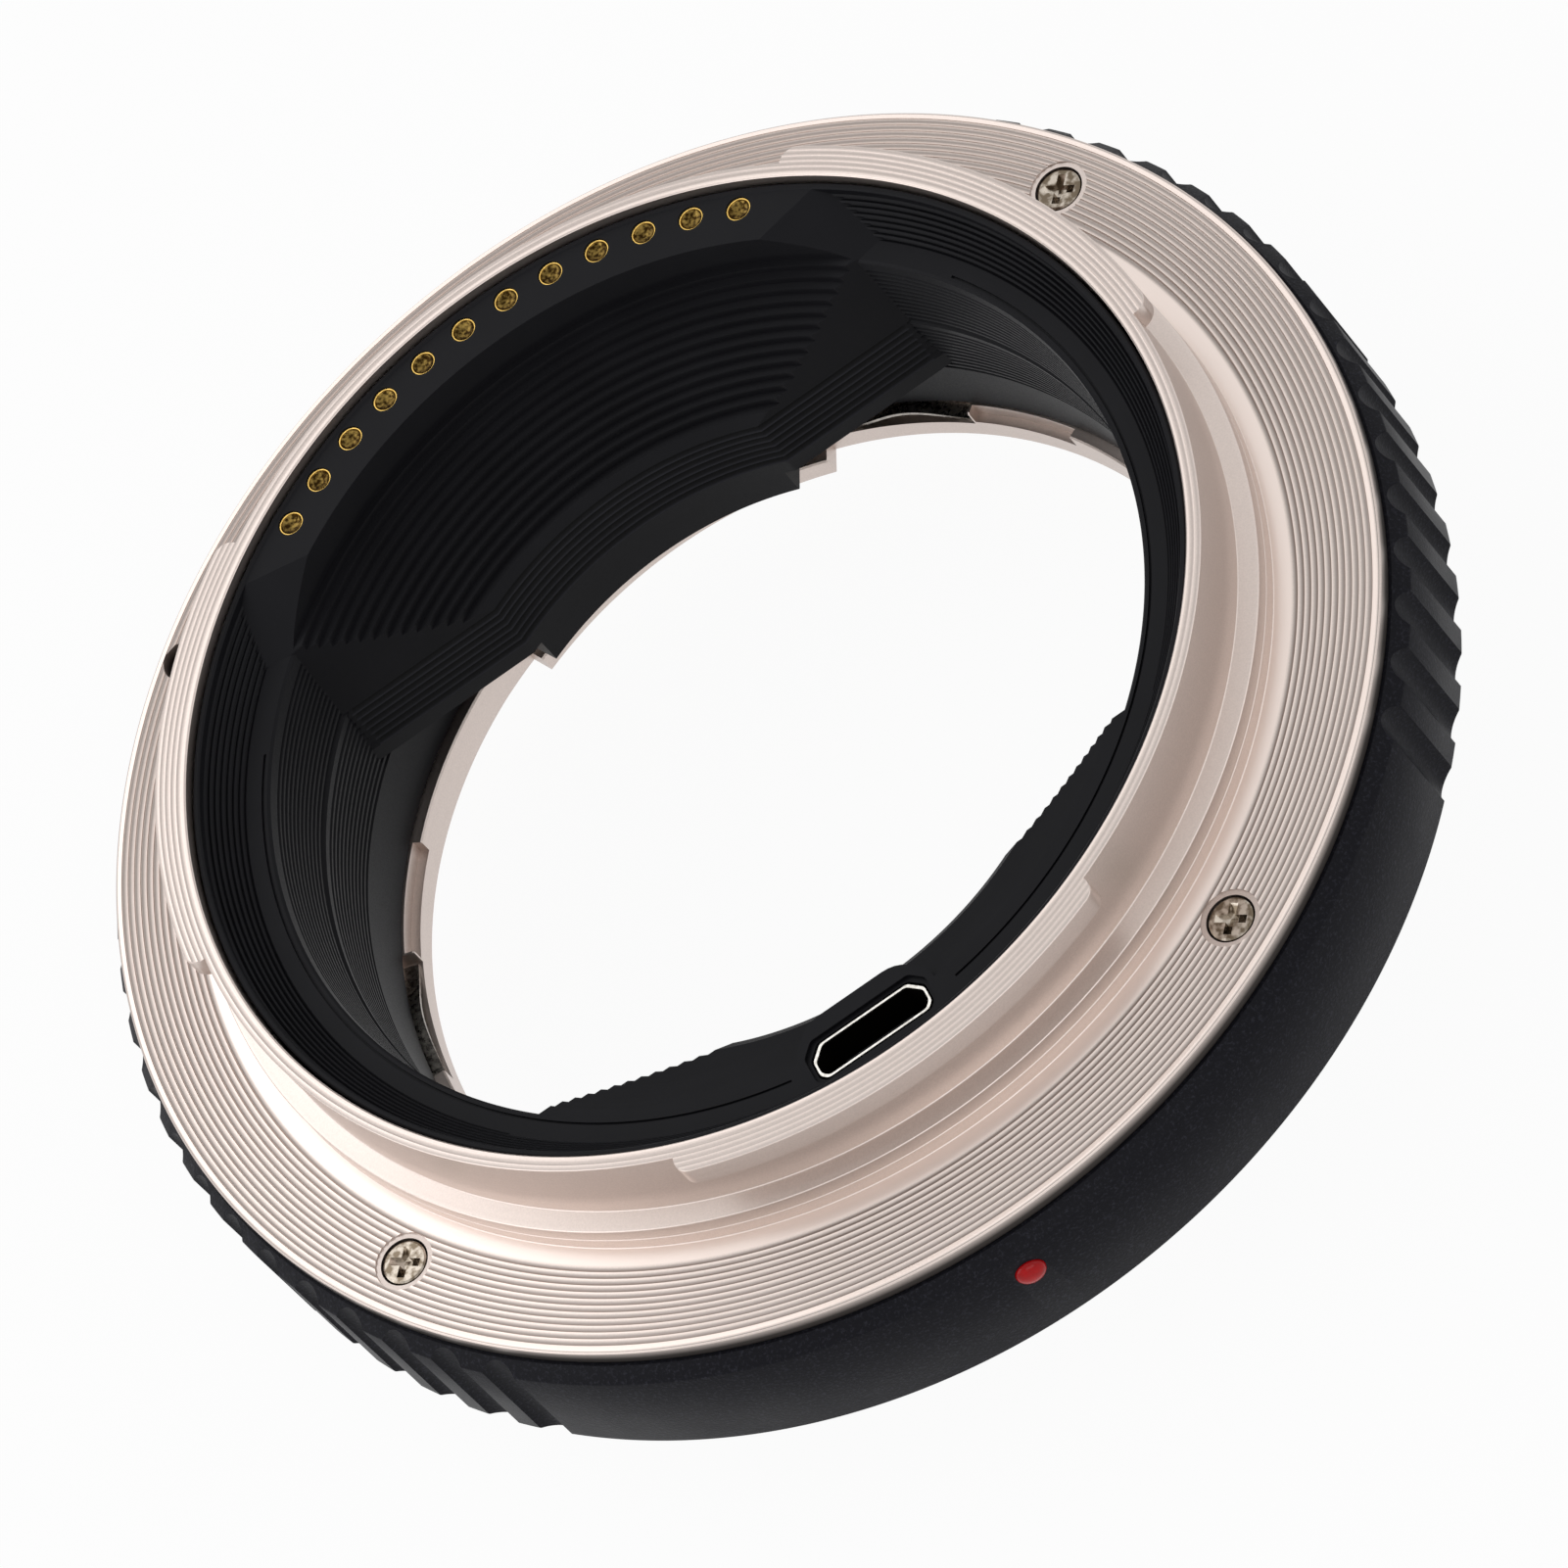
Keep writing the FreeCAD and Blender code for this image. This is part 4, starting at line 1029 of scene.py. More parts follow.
def flutes():
    """Cutters for the flutes: upright cylinders that bite into the wide ring."""
    sizes = bpy.context.scene.adapter_housing
    half = sizes.flute_width / MM / 2
    depth = sizes.flute_depth / MM
    radius = (half * half + depth * depth) / (2 * depth)
    circle = WALL - depth + radius
    runs = flute_runs(math.degrees(sizes.flute_pitch), math.degrees(half / WALL))
    cutters = []
    for number, run in enumerate(runs):
        shape = rod("flute", radius, FLUTE_FOOT, HOUSING_TOP + PAST, circle, steps=64)
        cutters.append(spread_round(f"flutes_{number}", shape, anodised_black, run))
    return cutters


def release_room():
    """Cutters for the thumb pocket, the arm's slot, the pin's hole and the spring's well."""
    half = LEVER_HALF + GAP
    pocket = box_at("pocket", (LEVER_FLOOR, -half, LEVER_LOW.z - GAP),
                    (WALL + PAST, half, LEVER_HIGH.z + RELEASE_TRAVEL + GAP), RELEASE_ANGLE)
    half = ARM_HALF + GAP
    slot = box_at("slot", (PIN_CIRCLE - ARM_END, -half, ARM_LOW.z - GAP),
                  (NOSE + PAST, half, ARM_HIGH.z + RELEASE_TRAVEL + GAP), RELEASE_ANGLE)
    hole = rod("hole", PIN_HOLE, 0.0, ARM_LOW.z, PIN_CIRCLE, RELEASE_ANGLE)
    well = rod("well", WELL, ARM_LOW.z, BOARD_LOW.z - WELL_ROOF, PIN_CIRCLE, RELEASE_ANGLE)
    return [pocket, slot, hole, well]


def housing_outline():
    """The ring's section: seat, nose, cone, wide ring, bevel and the circuit board's bay."""
    half = EDGE / 2
    bevel_foot = HOUSING_TOP - BEVEL
    return [(BORE, LENS_FLANGE), (RECESS, LENS_FLANGE), (RECESS, HOUSING_FOOT + EDGE),
            (RECESS + EDGE, HOUSING_FOOT), (NOSE - NOSE_CHAMFER, HOUSING_FOOT),
            (NOSE, HOUSING_FOOT + NOSE_CHAMFER), (NOSE, NOSE_TOP), (WALL - half, RING_FOOT - half),
            (WALL, RING_FOOT + half), (WALL, bevel_foot - half), (WALL - half, bevel_foot + half),
            (WALL - BEVEL, HOUSING_TOP), (BAY, HOUSING_TOP), (BAY, BOARD_LOW.z), (BORE, BOARD_LOW.z)]


def build_housing():
    """The black ring, with its flutes, screw holes and the seats of both marks."""
    piece = turned("housing", housing_outline())
    cutters = flutes() + release_room()
    for node in REAR_SCREWS:
        cutters.append(rod("rear_hole", SHANK, REAR_HOLE_FOOT, HOUSING_TOP + PAST, *seat_mm(node),
                           steps=24))
    for node in FRONT_SCREWS:
        cutters.append(rod("front_hole", FRONT_SHANK, FRONT_HOLE_FOOT, FRONT_END, *seat_mm(node),
                           steps=24))
    seat = rod("seat", BEAD_RADIUS + MARK_PLAY, BEAD_ROOT, 3 * PAST)
    cutters.append(laid_out(seat, WALL, BEAD_HEIGHT, INDEX_ANGLE))
    cutters.append(rod("dot_seat", DOT_RADIUS + MARK_PLAY, 0.0, DOT_SEAT_TOP, DOT_CIRCLE,
                       INDEX_ANGLE, steps=32))
    smooth(combine(piece, cutters, "DIFFERENCE"))
    finish_piece(piece, anodised_black, BODY, "black_anodised", "main_housing")


# Camera side's bayonet

def lug(middle):
    """A bayonet lug: a strip round the barrel whose upright ends are rounded."""
    low = RIM_TOP - LUG_THICKNESS
    length = math.radians(LUG_WIDTH) * LUG_RADIUS
    bends, spans = 8, 60
    ease = [LUG_END * (1 - math.cos(math.pi / 2 * i / bends)) for i in range(bends + 1)]
    straight = [LUG_END + (length - 2 * LUG_END) * i / spans for i in range(1, spans)]
    columns = []
    for along in ease + straight + [length - e for e in reversed(ease)]:
        near = min(along, length - along, LUG_END)
        outer = LUG_RADIUS - LUG_END + math.sqrt(LUG_END ** 2 - (LUG_END - near) ** 2)
        outline = [(LUG_ROOT, low), (outer - EDGE, low), (outer, low + EDGE),
                   (outer, RIM_TOP - EDGE), (outer - EDGE, RIM_TOP), (LUG_ROOT, RIM_TOP)]
        angle = middle - LUG_WIDTH / 2 + math.degrees(along / LUG_RADIUS)
        columns.append([at_angle(r, angle, z) for r, z in outline])
    return skin("lug", columns, False)


def rim_rings():
    """A cutter for the turned rings on the rim and on the lugs."""
    outer = RIM_RINGS_OUTER
    inner = outer - RIM_RING_COUNT * RIM_RING_PITCH
    top = RIM_TOP - RIM_SKIM
    under = scallops((outer, top), (inner, top), RIM_RING_COUNT, RIM_RING_DEPTH)
    return turned("rim_rings", [(inner, RIM_TOP + PAST), (outer, RIM_TOP + PAST)] + under)


def flange_outline():
    """The camera bayonet's section from its bore to the flange's turned rings."""
    sizes = bpy.context.scene.adapter_plate
    inner = RINGS_OUTER - sizes.ring_count * sizes.ring_pitch / MM
    outline = [(REAR_BORE, PLATE_LOW.z), (SPIGOT, PLATE_LOW.z), (SPIGOT, HOUSING_TOP),
               (FLANGE_RADIUS - EDGE, HOUSING_TOP), (FLANGE_RADIUS, HOUSING_TOP + EDGE),
               (FLANGE_RADIUS, FACE - 2 * EDGE), (FLANGE_RADIUS - 2 * EDGE, FACE)]
    return outline + scallops((RINGS_OUTER, FACE), (inner, FACE), sizes.ring_count,
                              sizes.ring_depth / MM)


def barrel_outline():
    """The camera bayonet's section from the shoulder over the barrel back to the bore."""
    fine, line, foot = FINE_EDGE, SHOULDER_LINE, SHOULDER_TOP + BARREL_FOOT_RISE
    return [(SHOULDER + fine, FACE), (SHOULDER, FACE + fine), (SHOULDER, line - fine),
            (SHOULDER - fine, line), (SHOULDER, line + fine), (SHOULDER, SHOULDER_TOP - fine),
            (SHOULDER - fine, SHOULDER_TOP), (BARREL + fine, foot), (BARREL, foot + fine),
            (BARREL, RIM_TOP - EDGE), (BARREL - EDGE, RIM_TOP), (REAR_BORE + EDGE, RIM_TOP),
            (REAR_BORE, RIM_TOP - EDGE)]


def rear_screw_rooms():
    """Cutters for each camera side screw: spot face, room for the head, hole for the shank."""
    radius, depth = SPOT_FACE
    head_floor = FACE - HEAD_SINK - HEAD_HEIGHT
    cutters = []
    for node in REAR_SCREWS:
        seat = seat_mm(node)
        cutters.append(rod("spot_face", radius, FACE - depth, FACE + PAST, *seat))
        cutters.append(rod("sink", HEAD_RADIUS + HEAD_PLAY, head_floor, FACE, *seat))
        cutters.append(rod("clear", SHANK, HOUSING_TOP - PAST, FACE - PAST / 2, *seat, steps=24))
    return cutters


def build_rear_mount():
    """The nickel plate of the camera side, with shoulder, barrel and three lugs."""
    piece = turned("camera_bayonet", flange_outline() + barrel_outline())
    combine(piece, [lug(middle) for middle in LUG_CENTRES], "UNION")
    cutters = [rim_rings()] + rear_screw_rooms()
    circle, radius, depth = LOCK_HOLE
    cutters.append(rod("lock_hole", radius, FACE - depth, FACE + PAST, circle, LOCK_HOLE_ANGLE))
    smooth(combine(piece, cutters, "DIFFERENCE"))
    finish_piece(piece, turned_nickel, BODY, "nickel_plate", "rear_mount")


# Screws

def cross_recess(top):
    """A crossed recess whose arms get shallower outwards."""
    outline = [(-y, z) for y, z in CROSS_ARM] + list(reversed(CROSS_ARM))
    arms = [side_prism("arm", [(y, top + z) for y, z in outline], -CROSS_HALF, CROSS_HALF)
            for _ in CROSS_ANGLES]
    return [place(arm, 0.0, angle) for arm, angle in zip(arms, CROSS_ANGLES)]


def finish_screws(name, shape, circle, row, nodes):
    """Spreads a screw round the axis to stand for a row of CAD nodes."""
    piece = spread_round(name, place(shape, circle), bright_screw_nickel, row)
    finish_piece(smooth(piece), bright_screw_nickel, BODY, "bright_steel", *nodes)


def build_rear_screws():
    """Four pan head screws with crossed recesses."""
    top = FACE - HEAD_SINK
    floor = top - HEAD_HEIGHT
    foot = HOUSING_TOP - REAR_SCREW_DEPTH
    outline = [(0, foot), (SHANK - EDGE, foot), (SHANK, foot + EDGE), (SHANK, floor),
               (HEAD_RADIUS, floor)]
    outline += [(HEAD_RADIUS - inwards, top - down) for inwards, down in HEAD_ROUND] + [(0, top)]
    shape = combine(lathe("screw", outline, steps=64), cross_recess(top), "DIFFERENCE")
    finish_screws("camera_bayonet_screws", shape, REAR_CIRCLE, REAR_ROW, REAR_SCREWS)


def countersunk(bottom):
    """Outline of a countersunk screw, head down, from its shank's end to its head's face."""
    low, high = FRONT_CONE
    return [(0, FRONT_END), (FRONT_SHANK, FRONT_END), (FRONT_SHANK, high), (FRONT_HEAD, low),
            (FRONT_HEAD, bottom), (0, bottom)]


def build_front_screws():
    """Four countersunk screws of the lens side."""
    shape = lathe("screw", countersunk(FRONT_SINK), steps=64)
    arms = cross_recess(0)
    for arm in arms:
        arm.data.transform(Matrix.Rotation(math.pi, 4, "X"))
        arm.data.transform(Matrix.Translation((0, 0, FRONT_SINK * MM)))
    combine(shape, arms, "DIFFERENCE")
    finish_screws("lens_bayonet_screws", shape, FRONT_CIRCLE, FRONT_ROW, FRONT_SCREWS)


# Light baffle

def baffle_wall():
    """The baffle's turned wall: a grooved collar, the ledge and two finely grooved stretches."""
    fine = bpy.context.scene.adapter_baffle.wall_depth / MM
    rim = COLLAR[0][0]
    top = BAFFLE_HIGH.z
    outline = [(BAFFLE_RADIUS, BOARD_HIGH.z), (BAFFLE_RADIUS, top - EDGE),
               (BAFFLE_RADIUS - EDGE, top), (rim + EDGE, top), (rim, top - EDGE)]
    outline += steps_down(*COLLAR, COLLAR_DEPTH)
    outline += [(LEDGE_INNER + LEDGE_ROUND, LEDGE), (LEDGE_INNER, LEDGE - LEDGE_ROUND)]
    outline += steps_down(*UPPER_WALL, fine) + list(LOWER_LIP) + steps_down(*LOWER_WALL, fine)
    outline += [(SKIRT_BORE, BAFFLE_LOW.z), (SKIRT, BAFFLE_LOW.z), (SKIRT, BOARD_HIGH.z)]
    return turned("baffle", outline)


def block_outline(top, top_radius):
    """Outline of a block's middle: grooved cone above, ribbed upright wall below."""
    depth = bpy.context.scene.adapter_baffle.field_depth / MM
    out, up = FIELD_SHELF
    field = zigzag((top_radius, FIELD_TOP), (BLOCK_ARC + out, FIELD_FOOT + up), FIELD_COUNT, depth)
    ribs = zigzag((BLOCK_ARC, FIELD_FOOT), (BLOCK_ARC, RIB_FOOT), RIB_COUNT, RIB_DEPTH)
    outer = [(BLOCK_ROOT, BLOCK_FOOT), (BLOCK_ROOT, BOARD_HIGH.z), (BLOCK_BACK, BOARD_HIGH.z),
             (BLOCK_BACK, top)]
    inner = [(top_radius, top)] if top > FIELD_TOP else []
    return outer + inner + field + ribs + [(BLOCK_ARC, BLOCK_FOOT)]


def chord_side(top):
    """Everything beyond the straight wall and its leaning facets, on the +Y side."""
    wall = zigzag((BLOCK_CHORD, RIB_FOOT), (BLOCK_CHORD, FIELD_FOOT), RIB_COUNT, -RIB_DEPTH)
    lean = BLOCK_CHORD + SIDE_LEAN * (top - FIELD_FOOT)
    outline = [(BLOCK_CHORD, BLOCK_FOOT)] + wall + [(lean, top), (WALL, top), (WALL, BLOCK_FOOT)]
    return side_prism("chord_side", outline, -WALL, WALL)


def plain_block(name, top, top_radius):
    """A block of the baffle, on the +Y side, before its facets or its pad."""
    block = turned(name, block_outline(top, top_radius), 0, HALF_TURN)
    return combine(block, [chord_side(top)], "INTERSECT")


def above_plane(corner, second, third):
    """A big block whose lower face passes through three points in millimetres."""
    normal = (second - corner).cross(third - corner).normalized()
    if normal.z < 0:
        normal = -normal
    block = box_at("above", (-WALL, -WALL, 0), (WALL, WALL, WALL))
    spin = Vector((0, 0, 1)).rotation_difference(normal).to_matrix().to_4x4()
    block.data.transform(Matrix.Translation(corner * MM) @ spin)
    return block


def contact_block():
    """The block under the camera's contacts, with its platform and end facets."""
    block = plain_block("contact_block", PLATFORM, PLATFORM_INNER)
    foot_angle = math.degrees(math.asin((BLOCK_CHORD + FOOT_RISE) / LEDGE_INNER))
    corners = [(PLATFORM_INNER, FACET_ANGLES[0], PLATFORM),
               (BAFFLE_RADIUS, FACET_ANGLES[1], PLATFORM), (LEDGE_INNER, foot_angle, LEDGE)]
    for mirrored in (False, True):
        plane = [at_angle(r, HALF_TURN - a if mirrored else a, z) for r, a, z in corners]
        combine(block, [above_plane(*plane)], "DIFFERENCE")
    return block


def socket_outline(grow):
    """Outline of the data socket's shell, made larger all round by grow."""
    face = SOCKET_FACE + grow
    back = SOCKET_BACK - grow
    half = SOCKET_HALF + grow
    along, across = SOCKET_BACK_CUT
    right = [(half - along, back), (half, back + across)]
    along, across = SOCKET_FACE_CUT
    right += [(half, face - across), (half - along, face)]
    corners = right + [(-x, y) for x, y in reversed(right)]
    return [(SOCKET_X + x, y) for x, y in eased(corners, SOCKET_EASE)]


def socket_block():
    """The block on the index side, with a rounded pad for the data socket."""
    block = place(plain_block("socket_block", LEDGE, LEDGE_INNER), 0.0, HALF_TURN)
    front, half, rounding = SOCKET_PAD
    shoulder = PAD_FRONT - (half - front)
    corners = [(-front, PAD_FRONT), (front, PAD_FRONT), (half, shoulder), (half, PAD_REAR),
               (-half, PAD_REAR), (-half, shoulder)]
    outline = [(SOCKET_X + x, y) for x, y in eased(corners, rounding)]
    return combine(block, [prism("pad", outline, FIELD_FOOT, LEDGE)], "UNION")


def socket_room():
    """Cutters for the socket's mouth, the bevel round it and the board behind it."""
    reach, depth = SOCKET_BEVEL
    mouth = prism("mouth", socket_outline(SOCKET_PLAY), SHELL_LOW.z, LEDGE + PAST)
    bevel = prism("bevel", socket_outline(reach), LEDGE - depth, LEDGE + PAST)
    riser = box_at("riser_room", (SOCKET_X - RISER_HALF, SOCKET_BACK - RISER_BACK, BOARD_HIGH.z),
                   (SOCKET_X + RISER_HALF, SOCKET_FACE - RISER_FRONT, SHELL_LOW.z + FINE_EDGE))
    return [mouth, bevel, riser]


def ledge_lines():
    """Cutters for the turned line on the ledge, broken by the socket's pad and the contacts."""
    radius, width, depth = LEDGE_LINE
    line = rectangle(radius, LEDGE - depth, radius + width, LEDGE + PAST)
    return [turned("line", line, first, sweep) for first, sweep in LEDGE_LINE_RUNS]


def ribbon_rooms():
    """Cutters for the ribbon that runs up to the pads and for its tab on the board."""
    middle = row_middle(PAD_ROW)
    inset, half, reach = RIBBON_SLOT
    radius = PAD_CIRCLE - inset
    slot = rectangle(radius - half, BOARD_HIGH.z - EDGE, radius + half, PAD_LOW.z)
    slot_room = turned("slot", slot, middle - reach, 2 * reach)
    inner, foot, reach = RIBBON_TAB
    tab = rectangle(inner, foot, BORE, BOARD_HIGH.z + EDGE)
    return [slot_room, turned("tab", tab, middle - reach, 2 * reach)]


def build_baffle():
    """The matte black moulding with its two stepped blocks and all its pockets."""
    piece = baffle_wall()
    combine(piece, [contact_block(), socket_block()], "UNION")
    cutters = socket_room() + ledge_lines() + ribbon_rooms()
    pocket = rod("pocket", PAD_POCKET, PAD_LOW.z, PLATFORM + PAST, PAD_CIRCLE)
    cutters.append(spread_round("pockets", pocket, moulded_black, PAD_ROW))
    smooth(combine(piece, cutters, "DIFFERENCE"))
    piece.name = "light_baffle"
    finish_piece(piece, moulded_black, BODY, "black_moulding", "inner_baffle")


# Contacts

def build_rear_contacts():
    """Twelve round contacts with a narrow lip and a dished face."""
    low, high = PAD_LOW.z, PAD_HIGH.z
    inwards, down = PAD_EDGE
    rim = PAD_RADIUS - PAD_LIP
    dish = list(reversed(quarter(rim, -DISH_DEPTH, high - DISH_EDGE)))
    outline = [(0, low), (PAD_RADIUS, low), (PAD_RADIUS, high - down), (PAD_RADIUS - inwards, high),
               (rim + DISH_EDGE, high)] + dish + [(0, high - DISH_EDGE - DISH_DEPTH)]
    shape = place(lathe("contact", outline), PAD_CIRCLE)
    piece = spread_round("camera_contacts", shape, dished_gold, PAD_ROW)
    finish_piece(smooth(piece, 40), dished_gold, BODY, "gold_plate", *REAR_CONTACTS)


def build_lens_contact_block():
    """The carrier of the eight sprung pins, a piece of a ring with stepped holes."""
    low, high = corner_mm("front_contact_block")
    inner, outer, reach = TIP_BLOCK
    outline = [(inner, low.z + EDGE), (inner + EDGE, low.z), (outer - EDGE, low.z),
               (outer, low.z + EDGE), (outer, high.z), (inner, high.z)]
    block = turned("lens_contact_block", outline, row_middle(TIP_ROW) - reach, 2 * reach)
    wide_radius, wide_start = TIP_ROOM
    cutters = []
    for name, radius, bottom in (("holes", TIP_HOLE, low.z - PAST),
                                 ("wides", wide_radius, low.z + wide_start)):
        hole = rod("hole", radius, bottom, high.z + PAST, TIP_CIRCLE)
        cutters.append(spread_round(name, hole, moulded_black, TIP_ROW))
    smooth(combine(block, cutters, "DIFFERENCE"))
    finish_piece(block, moulded_black, BODY, "black_moulding", "front_contact_block")


def build_front_contacts():
    """Eight sprung pins, each on its own body."""
    collar, collar_height = TIP_COLLAR
    for number, node in enumerate(FRONT_CONTACTS, 1):
        low, high = corner_mm(node)
        step = high.z - collar_height
        outline = [(0, low.z)] + quarter(TIP_RADIUS, -TIP_RADIUS, low.z + TIP_RADIUS)
        outline += [(TIP_RADIUS, step), (collar, step), (collar, high.z), (0, high.z)]
        pin = place(lathe(f"lens_contact_pin_{number}", outline), *seat_mm(node))
        finish_piece(smooth(pin, 40), contact_gold, f"contact_pin_{number}", "gold_plate", node)


# Lens side's bayonet

def lens_mount_outline():
    """The lens bayonet's section: flange, ring round the throat and lead-in."""
    top = LENS_PLATE_HIGH.z
    radius = LENS_PLATE_HIGH.x
    return [(LEAD_IN, EDGE), (LEAD_IN + EDGE, 0), (radius - 2 * EDGE, 0), (radius, 2 * EDGE),
            (radius, LENS_FLANGE), (SKIRT, LENS_FLANGE), (SKIRT, top - EDGE), (SKIRT - EDGE, top),
            (THROAT + EDGE, top), (THROAT, top - EDGE), (THROAT, LEAD_IN_DEPTH + EDGE),
            (THROAT + EDGE, LEAD_IN_DEPTH), (LEAD_IN, LEAD_IN_DEPTH)]


def lens_tabs():
    """The three tabs that hold the lens."""
    back = LEAD_IN_DEPTH + TAB_THICKNESS
    outline = [(TAB, LEAD_IN_DEPTH + EDGE), (TAB + EDGE, LEAD_IN_DEPTH), (TAB_ROOT, LEAD_IN_DEPTH),
               (TAB_ROOT, back), (TAB + EDGE, back), (TAB, back - EDGE)]
    return [turned("tab", outline, middle - TAB_WIDTH / 2, TAB_WIDTH) for middle in TAB_CENTRES]


def spring_rooms():
    """Cutters for the notches and for the channels of the leaf springs beside them."""
    top = LENS_PLATE_HIGH.z
    notch = rectangle(TAB, top - NOTCH_DEPTH, NOTCH_WALL, top + PAST)
    channel = rectangle(TAB, CHANNEL_FLOOR, CHANNEL, top + PAST)
    cutters = []
    for angle in NOTCHES:
        start = angle + SPRING_START - SPRING_ROOM
        cutters.append(turned("notch", notch, angle - NOTCH_WIDTH / 2, NOTCH_WIDTH))
        cutters.append(turned("channel", channel, start, SPRING_SPAN + 2 * SPRING_ROOM))
    return cutters


def build_front_mount():
    """The nickel plate of the lens side."""
    piece = turned("lens_bayonet", lens_mount_outline())
    combine(piece, lens_tabs(), "UNION")
    cutters = spring_rooms()
    for node in FRONT_SCREWS:
        cutters.append(place(lathe("sink", countersunk(-PAST)), *seat_mm(node)))
    cutters.append(rod("pin_hole", PIN_HOLE, -PAST, LENS_FLANGE + PAST, PIN_CIRCLE, RELEASE_ANGLE))
    smooth(combine(piece, cutters, "DIFFERENCE"))
    finish_piece(piece, turned_nickel, BODY, "nickel_plate", "front_mount")


def build_bayonet_springs():
    """Three leaf springs, each a wave along its channel."""
    inner, outer, thickness, wave = LEAF
    steps = 32
    for number, notch in enumerate(NOTCHES, 1):
        columns = []
        for share in (i / steps for i in range(steps + 1)):
            low = CHANNEL_FLOOR + wave * (0.5 - 0.5 * math.cos(2 * math.pi * share))
            angle = notch + SPRING_START + SPRING_SPAN * share
            outline = rectangle(inner, low, outer, low + thickness)
            columns.append([at_angle(r, angle, z) for r, z in outline])
        piece = smooth(skin(f"leaf_spring_{number}", columns, False))
        finish_piece(piece, spring_steel, BODY, "spring_steel", f"bayonet_spring_{number}")


# Data socket

def socket_strips(low, high):
    """The five contacts on the tongue between two corners."""
    half, pitch = STRIP
    middles = [SOCKET_X + step * pitch for step in STRIP_STEPS]
    strips = [box_at("strip", (x - half, high.y - STRIP_SINK, low.z + STRIP_START),
                     (x + half, high.y + STRIP_RISE, high.z - EDGE)) for x in middles]
    return merge("data_socket_contacts", strips)


def build_socket():
    """The plated shell, its tongue and the tongue's contacts."""
    shell = prism("data_socket_shell", socket_outline(0), SHELL_LOW.z, SHELL_HIGH.z)
    hollow = prism("hollow", socket_outline(-SOCKET_LIP), SHELL_LOW.z + SOCKET_LIP,
                   SHELL_HIGH.z + PAST)
    smooth(combine(shell, [hollow], "DIFFERENCE"), 35)
    finish_piece(shell, socket_steel, BODY, "bright_steel", "usb_socket_shell")
    low, high = corner_mm("usb_tongue")
    tongue = box_at("data_socket_tongue", low, high)
    finish_piece(tongue, moulded_black, BODY, "black_moulding", "usb_tongue")
    finish_piece(socket_strips(low, high), contact_gold, BODY, "gold_plate")


# Index marks

def build_marks():
    """The red bead in the wall and the red dot in the lens side's rim."""
    outline = [(0, BEAD_RISE)] + quarter(BEAD_RADIUS, BEAD_RISE, steps=12)
    outline += [(BEAD_RADIUS, BEAD_ROOT), (0, BEAD_ROOT)]
    bead = laid_out(lathe("index_mark", outline), WALL, BEAD_HEIGHT, INDEX_ANGLE)
    finish_piece(smooth(bead, 50), red_bead, BODY, "red_enamel", "index_bead")
    low, high = corner_mm("front_index_dot")
    outline = [(0, low.z)] + quarter(DOT_RADIUS, low.z - HOUSING_FOOT, HOUSING_FOOT)
    outline += [(DOT_RADIUS, high.z), (0, high.z)]
    dot = place(lathe("lens_index_dot", outline, steps=40), DOT_CIRCLE, INDEX_ANGLE)
    finish_piece(smooth(dot, 50), red_bead, BODY, "red_enamel", "front_index_dot")


# Release and electronics

def build_release():
    """The lock pin as a turned piece; the lever and the arm keep their solids."""
    low, high = PIN_LOW.z, PIN_HIGH.z
    outline = [(0, low), (PIN_RADIUS - PIN_TIP, low), (PIN_RADIUS, low + PIN_TIP),
               (PIN_RADIUS, high - EDGE), (PIN_RADIUS - EDGE, high), (0, high)]
    pin = place(lathe("release_lock_pin", outline), PIN_CIRCLE, RELEASE_ANGLE)
    finish_piece(smooth(pin), bright_screw_nickel, RELEASE, "bright_steel", "lock_pin")
    paint_node("release_lever", anodised_black)
    paint_node("release_arm", spring_steel)


def build_release_spring():
    """The coil between the arm and its well's top."""
    low, length = COIL_LOW.z, COIL_HIGH.z - COIL_LOW.z
    steps, sides = 32, 16
    rise = length - 2 * WIRE
    section = [(WIRE * math.cos(a), WIRE * math.sin(a))
               for a in (2 * math.pi * side / sides for side in range(sides))]
    columns = []
    for i in range(COIL_TURNS * steps + 1):
        height = low + WIRE + rise * i / (COIL_TURNS * steps)
        columns.append([at_angle(COIL_RADIUS + r, WHOLE_TURN * i / steps, height + z)
                        for r, z in section])
    coil = place(skin("release_coil", columns, False), PIN_CIRCLE, RELEASE_ANGLE)
    finish_piece(smooth(coil), spring_steel, BODY, "spring_steel", "release_spring")
    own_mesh(coil)


def build_electronics():
    """The circuit board, its riser and the two ribbons keep their solids."""
    paint_node("circuit_board", board_mask)
    paint_node("socket_riser", board_mask)
    paint_node("rear_ribbon", amber_film)
    paint_node("front_ribbon", amber_film)


# Stage, in metres

# The camera's place and its axes, fitted to the rings in the photograph
CAMERA_PLACE = (0.0804, -0.4364, 0.5598)
CAMERA_RIGHT = (0.8169, -0.3872, -0.4273)
CAMERA_UP = (0.5652, 0.6847, 0.4601)
CAMERA_BACK = (0.1144, -0.6174, 0.7783)
CAMERA_LENS = 281.07          # millimetres, on a sensor 36 mm wide
SENSOR = 36.0
CLIP = (0.01, 20.0)
FLOOR_HALF = 3.0
FLOOR_GAP = 0.0002
FILL = 0.45                   # strength of the light that falls on the object from all sides
AIM = (0.0, 0.0, 0.012)
LAMPS = {                     # place, width, height and watts
    "overhead_softbox": ((-0.45, 0.5, 0.55), 0.7, 0.6, 1.5),
    "left_softbox": ((-0.75, -0.1, 0.4), 0.6, 0.6, 1.4),
    "right_softbox": ((0.8, -0.3, 0.4), 0.6, 0.6, 0.4),
    "front_softbox": ((0.1, -0.9, 0.35), 0.8, 0.4, 1.2),
}


